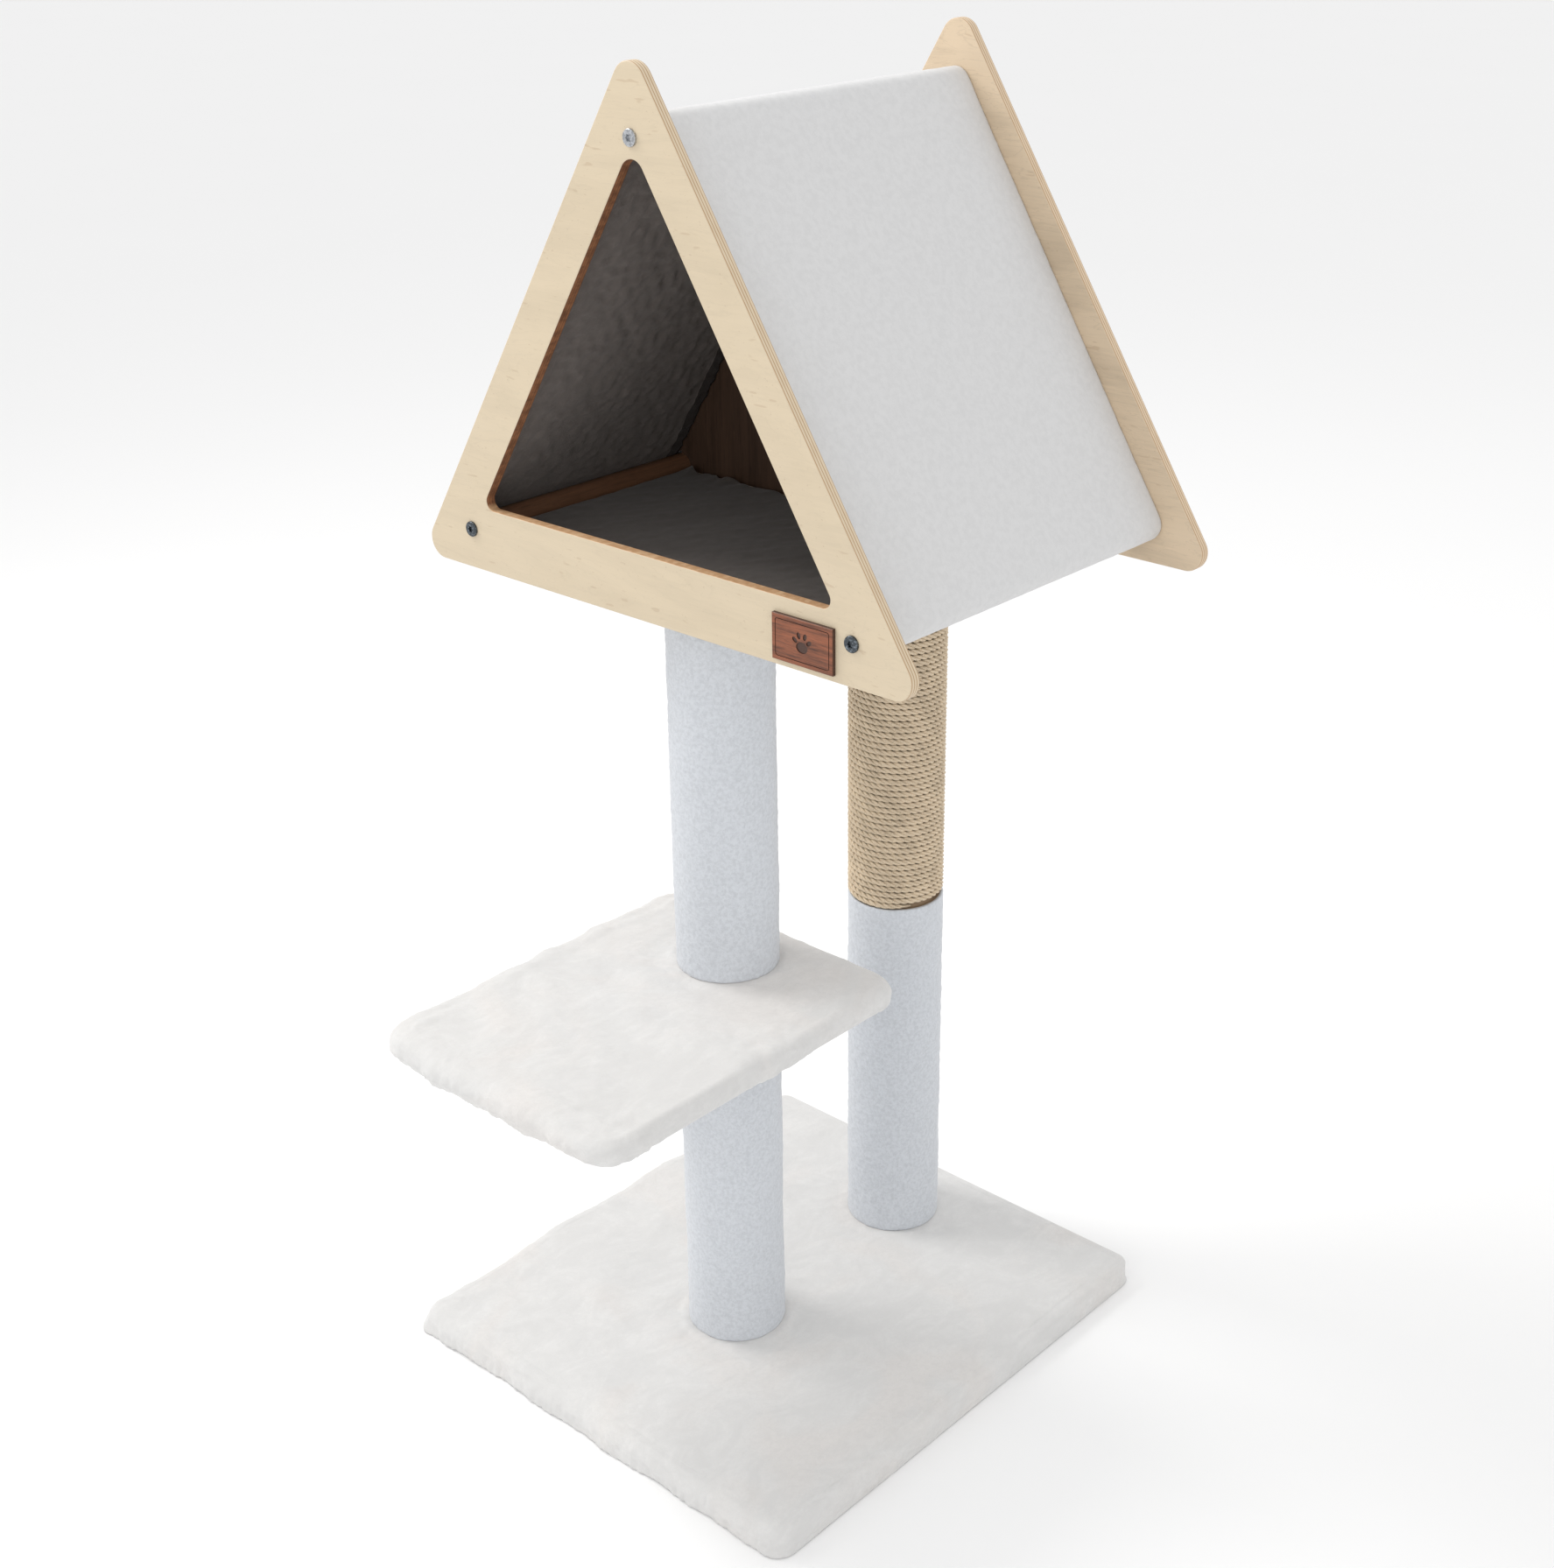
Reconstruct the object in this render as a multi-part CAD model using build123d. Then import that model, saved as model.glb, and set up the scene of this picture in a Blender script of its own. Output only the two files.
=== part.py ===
from build123d import *
import math
import os

os.makedirs("parts", exist_ok=True)

# Cat tree: two posts on a plush-covered base, a plush-covered step on the front post, and a
# triangular den on top of both posts. Millimetres. +X runs right along the den's doorway,
# +Y runs back, +Z is up. The origin is the centre of the base's underside.

# ---------------------------------------------------------------- driving dimensions
BASE_X, BASE_Y, BASE_T = 496.0, 548.0, 30.0
BASE_CORNER = 18.0
BASE_TOP_R = 14.0
BASE_PLUSH = 6.0
BASE_HEM = 4.0
HEM_WIDTH = 42.0

STEP_X0, STEP_X1 = -146.0, 146.0
STEP_Y0, STEP_Y1 = -365.0, 11.0
STEP_T = 30.0
STEP_CORNER = 30.0
STEP_PLUSH = 6.0

FRONT_POST_Y = -69.0
REAR_POST_Y = 175.0
POST_R = 48.0
WIDE_TUBE_R = 45.0
TUBE_WALL = 4.0
NARROW_TUBE_R = 42.0
TUBE_LENGTH = 375.0
REAR_LOWER_LENGTH = 383.0

DEN_FRONT_Y = -153.0
DEN_DEPTH = 412.0
PANEL_T = 10.0
PANEL_HALF_WIDTH = 297.5
PANEL_HEIGHT = 467.0
PANEL_DROP = 20.0
PANEL_APEX_R = 18.0
PANEL_FOOT_R = 17.0
PANEL_EDGE_R = 1.0
DOOR_HALF_WIDTH = 208.0
DOOR_SILL = 58.5
DOOR_APEX = 390.0
DOOR_APEX_R = 13.0
DOOR_FOOT_R = 8.0

DOWEL_R = 11.0
LINING_T = 2.5
COVER_T = 3.0
DOWEL_X = 224.0
RIDGE_RISE = 358.5
LINING_END_Y = 113.0
FLOOR_T = 9.0
FLOOR_HALF_WIDTH = 211.5
MAT_T = 5.0
MAT_END_Y = 108.0
PARTITION_Y = 114.0
PARTITION_T = 9.0

BADGE_X, BADGE_W, BADGE_H, BADGE_T = 175.0, 64.0, 39.0, 3.5
BADGE_RISE = 25.5

PLUG_T = 25.0
INSERT_R, INSERT_L = 6.0, 20.0
M8_R = 4.0
M6_R = 3.0
PIN_R = 2.5

# ---------------------------------------------------------------- derived levels
STEP_Z0 = BASE_T + TUBE_LENGTH
STEP_Z1 = STEP_Z0 + STEP_T
DEN_Z = STEP_Z1 + TUBE_LENGTH
REAR_JOINT_Z = BASE_T + REAR_LOWER_LENGTH
PANEL_Z = DEN_Z - PANEL_DROP
DOWEL_Z = DEN_Z + COVER_T + LINING_T + DOWEL_R
RIDGE_Z = DOWEL_Z + RIDGE_RISE
FLOOR_Z = DEN_Z + COVER_T
MAT_Z = FLOOR_Z + FLOOR_T
INNER_Y0 = DEN_FRONT_Y + PANEL_T
INNER_Y1 = DEN_FRONT_Y + DEN_DEPTH - PANEL_T
REAR_Y = INNER_Y1
DOWELS = {"ridge": (0.0, RIDGE_Z), "left": (-DOWEL_X, DOWEL_Z), "right": (DOWEL_X, DOWEL_Z)}
POSTS = [(0.0, FRONT_POST_Y), (0.0, REAR_POST_Y)]


# ---------------------------------------------------------------- helpers
def save(name, solids):
    """Write one node: a solid, or a list of separate solids."""
    if isinstance(solids, (list, tuple)):
        solids = Compound(children=list(solids))
    export_step(solids, f"parts/{name}.step")


def block(x0, x1, y0, y1, z0, z1):
    """Axis-aligned box between two corners."""
    box = Box(x1 - x0, y1 - y0, z1 - z0, align=(Align.MIN, Align.MIN, Align.MIN))
    return Pos(x0, y0, z0) * box


def rod(x, y, z0, z1, radius):
    """Upright cylinder from z0 to z1."""
    return Pos(x, y, z0) * Cylinder(radius, z1 - z0, align=(Align.CENTER, Align.CENTER, Align.MIN))


def bar(x, z, y0, y1, radius):
    """Cylinder along Y from y0 to y1."""
    return Pos(x, (y0 + y1) / 2, z) * Rot(90, 0, 0) * Cylinder(radius, y1 - y0)


def ring(x, y, z0, z1, outer, inner):
    """Upright tube."""
    return rod(x, y, z0, z1, outer) - rod(x, y, z0, z1, inner)


def slab(x0, x1, y0, y1, z0, z1, corner, top_r=0.0, bottom_r=0.0):
    """Flat box with rounded upright corners and, if asked, rounded top and bottom edges."""
    body = block(x0, x1, y0, y1, z0, z1)
    body = fillet(body.edges().filter_by(Axis.Z), corner)
    if top_r:
        body = fillet(body.faces().sort_by(Axis.Z)[-1].edges(), top_r)
    if bottom_r:
        body = fillet(body.faces().sort_by(Axis.Z)[0].edges(), bottom_r)
    return body


def upright(face, y0, y1):
    """Extrude an X-Z outline from y0 to y1."""
    plane = Plane(origin=(0, y1, 0), x_dir=(1, 0, 0), z_dir=(0, -1, 0))
    return extrude(plane * face, amount=y1 - y0)


def rounded_triangle(half_width, z0, apex_z, apex_r, foot_r):
    """Isosceles X-Z outline with a rounded apex and rounded feet."""
    outline = make_face(Polyline((-half_width, z0), (half_width, z0), (0, apex_z), close=True))
    corners = outline.vertices().sort_by(Axis.Y)
    outline = fillet(corners[-1], apex_r)
    feet = outline.vertices().sort_by(Axis.Y)[:2]
    return fillet(feet, foot_r)


def dowel_hull(radius):
    """X-Z outline that wraps the three dowel axes at the given distance."""
    core = make_face(Polyline(*DOWELS.values(), close=True))
    return offset(core, amount=radius, kind=Kind.ARC)


def star_recess(depth, radius):
    """Six-lobed socket, drawn on X-Y and cut down from z = 0."""
    sketch = Circle(radius * 0.72)
    sketch += PolarLocations(radius * 0.72, 6) * Circle(radius * 0.28)
    return extrude(sketch, amount=-depth)


def headed_bolt(shank_r, length, head_r, head_t, socket):
    """Bolt pointing down -Z, with the underside of its head at z = 0."""
    head = Pos(0, 0, head_t / 2) * Cylinder(head_r, head_t)
    head = fillet(head.faces().sort_by(Axis.Z)[-1].edges(), head_t * 0.45)
    shank = Pos(0, 0, -length / 2) * Cylinder(shank_r, length)
    tip = shank.faces().sort_by(Axis.Z)[0].edges()
    return head + chamfer(tip, shank_r * 0.2) - Pos(0, 0, head_t) * socket


# ---------------------------------------------------------------- base
BORE_R, BORE_DEPTH = 13.0, 7.0
WASHER_R, WASHER_T = 11.0, 1.6
BOLT_HOLE_R = 4.25
STAPLE_W, STAPLE_WIRE, STAPLE_LEG = 10.0, 0.8, 10.0
STAPLES_X, STAPLES_Y = 6, 7


def base_staples():
    """U-shaped staples sunk into the hem on all four sides of the underside."""
    staples = []
    half_x = BASE_X / 2 - HEM_WIDTH * 0.6
    half_y = BASE_Y / 2 - HEM_WIDTH * 0.6
    places = []
    for i in range(STAPLES_X):
        x = (i - (STAPLES_X - 1) / 2) * 2 * half_x / STAPLES_X
        places += [(x, -half_y, 0), (x, half_y, 0)]
    for i in range(STAPLES_Y):
        y = (i - (STAPLES_Y - 1) / 2) * 2 * half_y / STAPLES_Y
        places += [(-half_x, y, 90), (half_x, y, 90)]
    w, t = STAPLE_W / 2, STAPLE_WIRE
    for x, y, turn in places:
        staple = block(-w, w, -t / 2, t / 2, 0.3, 0.3 + t)
        staple += block(-w, -w + t, -t / 2, t / 2, 0.3, STAPLE_LEG)
        staple += block(w - t, w, -t / 2, t / 2, 0.3, STAPLE_LEG)
        staples.append(Pos(x, y, 0) * Rot(0, 0, turn) * staple)
    return staples


def make_base():
    """Chipboard base, its plush cover and hem, staples, underside liner and post bolts."""
    hx, hy = BASE_X / 2, BASE_Y / 2
    bx, by = hx - BASE_PLUSH, hy - BASE_PLUSH
    board_z1 = BASE_T - BASE_PLUSH
    board = slab(-bx, bx, -by, by, BASE_HEM, board_z1, BASE_CORNER - BASE_PLUSH)
    plush = slab(-hx, hx, -hy, hy, 0, BASE_T, BASE_CORNER, top_r=BASE_TOP_R, bottom_r=3.0) - board
    lx, ly = hx - HEM_WIDTH, hy - HEM_WIDTH
    window = block(-lx, lx, -ly, ly, 0, BASE_HEM)
    plush -= window
    liner = window
    bolts, washers = [], []
    socket = extrude(RegularPolygon(radius=2.9, side_count=6), amount=-2.6)
    bolt_top = BASE_HEM + BORE_DEPTH
    for x, y in POSTS:
        liner -= rod(x, y, 0, BASE_HEM, BORE_R)
        board -= rod(x, y, BASE_HEM, bolt_top, BORE_R)
        board -= rod(x, y, bolt_top, board_z1, BOLT_HOLE_R)
        plush -= rod(x, y, board_z1, BASE_T, BOLT_HOLE_R)
        washers.append(ring(x, y, bolt_top - WASHER_T, bolt_top, WASHER_R, BOLT_HOLE_R))
        bolt = headed_bolt(M8_R, 40.0, 7.0, 4.4, socket)
        bolts.append(Pos(x, y, bolt_top - WASHER_T) * Rot(180, 0, 0) * bolt)
    staples = base_staples()
    for staple in staples:
        board -= staple
        plush -= staple
    save("base_board", board)
    save("base_plush", plush)
    save("base_liner", liner)
    save("base_staples", staples)
    save("base_bolts", bolts)
    save("base_washers", washers)


# ---------------------------------------------------------------- posts
def make_plug(x, y, face_z, into, tube_r):
    """End plug glued into a tube, and its threaded insert. into is +1 up or -1 down."""
    far = face_z + into * PLUG_T
    seat = face_z + into * INSERT_L
    plug = rod(x, y, min(face_z, far), max(face_z, far), tube_r - TUBE_WALL)
    plug -= rod(x, y, min(face_z, seat), max(face_z, seat), INSERT_R)
    plug -= rod(x, y, min(seat, far), max(seat, far), BOLT_HOLE_R)
    insert = ring(x, y, min(face_z, seat), max(face_z, seat), INSERT_R, M8_R)
    return plug, insert


def make_posts():
    """Cardboard tubes with plugged ends, their fabric sleeves and the sisal winding."""
    tubes = {
        "front_lower_tube": (FRONT_POST_Y, BASE_T, STEP_Z0, WIDE_TUBE_R),
        "front_upper_tube": (FRONT_POST_Y, STEP_Z1, DEN_Z, WIDE_TUBE_R),
        "rear_lower_tube": (REAR_POST_Y, BASE_T, REAR_JOINT_Z, WIDE_TUBE_R),
        "rear_upper_tube": (REAR_POST_Y, REAR_JOINT_Z, DEN_Z, NARROW_TUBE_R),
    }
    wide_plugs, narrow_plugs, inserts = [], [], []
    for name, (y, z0, z1, radius) in tubes.items():
        save(name, ring(0, y, z0, z1, radius, radius - TUBE_WALL))
        for face_z, into in ((z0, 1), (z1, -1)):
            plug, insert = make_plug(0, y, face_z, into, radius)
            (wide_plugs if radius == WIDE_TUBE_R else narrow_plugs).append(plug)
            inserts.append(insert)
        wrap = "rear_upper_sisal" if radius == NARROW_TUBE_R else name.replace("tube", "sleeve")
        save(wrap, ring(0, y, z0, z1, POST_R, radius))
    save("wide_post_plugs", wide_plugs)
    save("narrow_post_plugs", narrow_plugs)
    save("plug_inserts", inserts)
    save("step_stud", rod(0, FRONT_POST_Y, STEP_Z0 - INSERT_L, STEP_Z1 + INSERT_L, M8_R))
    save("rear_post_stud", rod(0, REAR_POST_Y, REAR_JOINT_Z - INSERT_L, REAR_JOINT_Z + INSERT_L, M8_R))


# ---------------------------------------------------------------- step
def make_step():
    """Plush-wrapped board that the front post's two tubes clamp between them."""
    p = STEP_PLUSH
    board = slab(STEP_X0 + p, STEP_X1 - p, STEP_Y0 + p, STEP_Y1 - p,
                 STEP_Z0 + p, STEP_Z1 - p, STEP_CORNER - p)
    plush = slab(STEP_X0, STEP_X1, STEP_Y0, STEP_Y1, STEP_Z0, STEP_Z1, STEP_CORNER,
                 top_r=13.0, bottom_r=12.0) - board
    hole = rod(0, FRONT_POST_Y, STEP_Z0, STEP_Z1, BOLT_HOLE_R)
    save("step_board", board - hole)
    save("step_plush", plush - hole)


# ---------------------------------------------------------------- den frame
PANEL_HOLE_R = 3.25
PANEL_SCREW_L = 34.0
DOWEL_BORE_R, DOWEL_BORE_L = 4.5, 26.0
SCREW_HEAD_R, SCREW_HEAD_T = 7.0, 2.2
PIN_IN_BOARD, PIN_IN_PANEL, PIN_X = 12.0, 7.0, 120.0
PARTITION_PIN_X = 100.0


def make_panel(y0, doorway):
    """Plywood end panel, drilled for the three dowel screws and the two blind floor pins."""
    outline = rounded_triangle(PANEL_HALF_WIDTH, PANEL_Z, PANEL_Z + PANEL_HEIGHT,
                               PANEL_APEX_R, PANEL_FOOT_R)
    panel = upright(outline, y0, y0 + PANEL_T)
    if doorway:
        door = rounded_triangle(DOOR_HALF_WIDTH, PANEL_Z + DOOR_SILL, PANEL_Z + DOOR_APEX,
                                DOOR_APEX_R, DOOR_FOOT_R)
        panel -= upright(door, y0, y0 + PANEL_T)
    rims = panel.faces().filter_by(Axis.Y)
    panel = fillet(rims.edges(), PANEL_EDGE_R)
    for x, z in DOWELS.values():
        panel -= bar(x, z, y0, y0 + PANEL_T, PANEL_HOLE_R)
    return panel


def make_frame():
    """End panels, dowels with threaded inserts, and the screws through the panels."""
    front = make_panel(DEN_FRONT_Y, True)
    rear = make_panel(REAR_Y, False)
    pins = floor_pins()
    for pin in pins:
        front -= pin
        rear -= pin
    save("front_panel", front)
    save("rear_panel", rear)
    screw = headed_bolt(M6_R, PANEL_SCREW_L, SCREW_HEAD_R, SCREW_HEAD_T, star_recess(1.5, 3.0))
    inserts, front_screws, rear_screws = [], [], []
    for name, (x, z) in DOWELS.items():
        dowel = bar(x, z, INNER_Y0, INNER_Y1, DOWEL_R)
        for y0, y1 in ((INNER_Y0, INNER_Y0 + DOWEL_BORE_L), (INNER_Y1 - DOWEL_BORE_L, INNER_Y1)):
            bore = bar(x, z, y0, y1, DOWEL_BORE_R)
            dowel -= bore
            inserts.append(bore - bar(x, z, y0, y1, M6_R))
        save(f"{name}_dowel", dowel)
        front_screws.append(Pos(x, DEN_FRONT_Y, z) * Rot(90, 0, 0) * screw)
        rear_screws.append(Pos(x, DEN_FRONT_Y + DEN_DEPTH, z) * Rot(-90, 0, 0) * screw)
    save("dowel_inserts", inserts)
    save("front_panel_screws", front_screws)
    save("rear_panel_screws", rear_screws)


# ---------------------------------------------------------------- den floor and partition
def floor_pins():
    """Blind wooden pins between the floor board's ends and the two panels."""
    z = FLOOR_Z + FLOOR_T / 2
    pins = []
    for x in (-PIN_X, PIN_X):
        pins.append(bar(x, z, INNER_Y0 - PIN_IN_PANEL, INNER_Y0 + PIN_IN_BOARD, PIN_R))
        pins.append(bar(x, z, INNER_Y1 - PIN_IN_BOARD, INNER_Y1 + PIN_IN_PANEL, PIN_R))
    return pins


def partition_pins():
    """Upright pins that locate the partition on the floor board."""
    y = PARTITION_Y + PARTITION_T / 2
    return [rod(x, y, MAT_Z - 6.0, MAT_Z + 9.0, 2.0) for x in (-PARTITION_PIN_X, PARTITION_PIN_X)]


def make_partition():
    """Upright board across the den, notched round the three dowels."""
    shape = upright(dowel_hull(DOWEL_R + LINING_T - 0.3), PARTITION_Y, PARTITION_Y + PARTITION_T)
    y0, y1 = PARTITION_Y - 1, PARTITION_Y + PARTITION_T + 1
    for x, z in DOWELS.values():
        shape -= bar(x, z, y0, y1, DOWEL_R + 0.3)
    shape -= block(-PANEL_HALF_WIDTH, PANEL_HALF_WIDTH, y0, y1, PANEL_Z, MAT_Z)
    foot_top = DOWEL_Z + DOWEL_R + 2.5
    shape -= block(DOWEL_X, PANEL_HALF_WIDTH, y0, y1, PANEL_Z, foot_top)
    shape -= block(-PANEL_HALF_WIDTH, -DOWEL_X, y0, y1, PANEL_Z, foot_top)
    shape -= block(-40, 40, y0, y1, RIDGE_Z - 7.0, RIDGE_Z + 40)
    return shape


def make_floor():
    """Floor board with recessed bolts into the posts, loose mat, and the inner partition."""
    board = block(-FLOOR_HALF_WIDTH, FLOOR_HALF_WIDTH, INNER_Y0, INNER_Y1, FLOOR_Z, MAT_Z)
    recess = 3.6
    bolts, washers = [], []
    socket = extrude(RegularPolygon(radius=2.9, side_count=6), amount=-1.6)
    for x, y in POSTS:
        board -= rod(x, y, MAT_Z - recess, MAT_Z, 13.0)
        board -= rod(x, y, FLOOR_Z, MAT_Z - recess, BOLT_HOLE_R)
        washers.append(ring(x, y, MAT_Z - recess, MAT_Z - recess + 1.2, 12.0, BOLT_HOLE_R))
        bolt = headed_bolt(M8_R, 30.0, 9.0, 2.2, socket)
        bolts.append(Pos(x, y, MAT_Z - recess + 1.2) * bolt)
    partition = make_partition()
    for pin in floor_pins() + partition_pins():
        board -= pin
        partition -= pin
    mat = slab(-FLOOR_HALF_WIDTH + 1, FLOOR_HALF_WIDTH - 1, INNER_Y0 + 1, MAT_END_Y,
               MAT_Z, MAT_Z + MAT_T, 8.0, top_r=1.5)
    save("floor_board", board)
    save("floor_bolts", bolts)
    save("floor_washers", washers)
    save("floor_pins", floor_pins())
    save("partition", partition)
    save("partition_pins", partition_pins())
    save("floor_mat", mat)


# ---------------------------------------------------------------- tent
def make_tent():
    """Closed outer sleeve round the three dowels, and the dark lining of the two slopes."""
    inner, middle = dowel_hull(DOWEL_R), dowel_hull(DOWEL_R + LINING_T)
    outer = dowel_hull(DOWEL_R + LINING_T + COVER_T)
    cover = upright(outer, INNER_Y0, INNER_Y1) - upright(middle, INNER_Y0, INNER_Y1)
    for x, y in POSTS:
        cover -= rod(x, y, DEN_Z, FLOOR_Z, BOLT_HOLE_R)
    lining = upright(middle, INNER_Y0, LINING_END_Y) - upright(inner, INNER_Y0, LINING_END_Y)
    gap = FLOOR_HALF_WIDTH + 1.0
    lining -= block(-gap, gap, INNER_Y0, INNER_Y1, DEN_Z, DOWEL_Z)
    save("tent_cover", cover)
    save("tent_lining", lining)


# ---------------------------------------------------------------- badge
def paw_print():
    """Generic paw print on X-Z: one pad and four toes."""
    paw = Ellipse(6.0, 4.6)
    for angle, reach in ((-52, 9.4), (-18, 10.6), (18, 10.6), (52, 9.4)):
        turn = math.radians(angle)
        toe = Pos(reach * math.sin(turn), reach * math.cos(turn) - 0.5) * Rot(0, 0, -angle)
        paw += toe * Ellipse(1.9, 2.9)
    return Pos(0, -3.5) * paw


def make_badge():
    """Small wooden plate with an engraved border line and paw print."""
    z = PANEL_Z + BADGE_RISE
    place = Pos(BADGE_X, z)
    front = DEN_FRONT_Y - BADGE_T
    plate = upright(place * Rectangle(BADGE_W, BADGE_H), front, DEN_FRONT_Y)
    plate = chamfer(plate.faces().sort_by(Axis.Y)[0].edges(), 0.4)
    border = RectangleRounded(BADGE_W - 7, BADGE_H - 7, 2.5) - RectangleRounded(BADGE_W - 8.4, BADGE_H - 8.4, 1.8)
    engraving = place * (border + paw_print())
    plate -= upright(engraving, front, front + 0.6)
    save("name_badge", plate)


make_base()
make_posts()
make_step()
make_frame()
make_floor()
make_tent()
make_badge()
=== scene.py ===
"""Looks of the cat tree: a plywood and felt den on two covered posts, with a plush step and base.

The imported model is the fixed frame. The hard pieces keep their shapes and get finishes here. The soft
pieces, which are the plush covers, post sleeves, tent cover, lining, mat and rope winding, are rebuilt
as detailed meshes.
"""
import logging
import math
from dataclasses import dataclass, field
from enum import Enum
from typing import Any, Sequence

import bpy
import numpy as np
from mathutils import Matrix, Vector


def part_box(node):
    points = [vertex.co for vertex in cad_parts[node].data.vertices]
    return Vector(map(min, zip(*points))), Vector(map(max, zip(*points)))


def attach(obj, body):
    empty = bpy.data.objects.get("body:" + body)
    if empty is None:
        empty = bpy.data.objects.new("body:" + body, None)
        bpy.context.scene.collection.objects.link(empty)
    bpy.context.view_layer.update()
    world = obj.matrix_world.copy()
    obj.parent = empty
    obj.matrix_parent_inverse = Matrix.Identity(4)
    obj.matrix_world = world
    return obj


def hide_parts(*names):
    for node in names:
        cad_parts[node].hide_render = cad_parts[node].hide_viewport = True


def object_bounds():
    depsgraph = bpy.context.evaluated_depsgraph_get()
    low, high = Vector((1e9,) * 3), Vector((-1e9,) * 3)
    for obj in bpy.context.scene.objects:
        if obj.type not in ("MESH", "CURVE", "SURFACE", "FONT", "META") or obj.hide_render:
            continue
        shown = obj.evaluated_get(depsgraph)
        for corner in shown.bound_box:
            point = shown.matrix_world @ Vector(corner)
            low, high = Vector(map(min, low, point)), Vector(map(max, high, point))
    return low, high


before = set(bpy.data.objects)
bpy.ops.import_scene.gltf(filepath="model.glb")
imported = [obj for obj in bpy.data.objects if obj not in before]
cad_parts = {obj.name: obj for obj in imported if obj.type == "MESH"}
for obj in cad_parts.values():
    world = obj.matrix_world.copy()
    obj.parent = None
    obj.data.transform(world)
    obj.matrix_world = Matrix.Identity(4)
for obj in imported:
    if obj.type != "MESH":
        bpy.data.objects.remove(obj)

CAD_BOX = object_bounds()
BODY = "root"
MM = 0.001
LOG = logging.getLogger("cat_tree")
Point = tuple[float, float, float]
Colour = tuple[float, float, float]
Faces = list[tuple[int, ...]]
Body = tuple[np.ndarray, Faces]

# Half width, sill height and apex height of the front panel's doorway, in metres.
DOORWAY = (0.208, 0.8485, 1.180)
# Width of the strip of painted shade at the rear end of the den's lining.
SHADED_END_WIDTH = 15 * MM


# --------------------------------------------------------------------------------------------------
# Shader building
# --------------------------------------------------------------------------------------------------
class Value:
    """A one-number shader value. Arithmetic on it adds Math nodes to its graph."""

    def __init__(self, graph: "Graph", socket: bpy.types.NodeSocket) -> None:
        """Wrap a socket."""
        self.graph = graph
        self.socket = socket

    def __add__(self, other: "Number") -> "Value":
        """Sum."""
        return self.graph.math("ADD", self, other)

    def __radd__(self, other: "Number") -> "Value":
        """Reflected sum."""
        return self.graph.math("ADD", other, self)

    def __sub__(self, other: "Number") -> "Value":
        """Difference."""
        return self.graph.math("SUBTRACT", self, other)

    def __rsub__(self, other: "Number") -> "Value":
        """Reflected difference, so that 1 - mask works."""
        return self.graph.math("SUBTRACT", other, self)

    def __mul__(self, other: "Number") -> "Value":
        """Product."""
        return self.graph.math("MULTIPLY", self, other)

    def __rmul__(self, other: "Number") -> "Value":
        """Reflected product."""
        return self.graph.math("MULTIPLY", other, self)

    def __truediv__(self, other: "Number") -> "Value":
        """Quotient."""
        return self.graph.math("DIVIDE", self, other)

    def __pow__(self, other: "Number") -> "Value":
        """Power."""
        return self.graph.math("POWER", self, other)

    def __abs__(self) -> "Value":
        """Size without sign."""
        return self.graph.math("ABSOLUTE", self)

    def above(self, edge: float, soft: float) -> "Value":
        """Mask that rises from 0 to 1 around an edge."""
        return self.graph.ramp_value(self, edge - soft / 2, edge + soft / 2)


Number = Value | float


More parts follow.
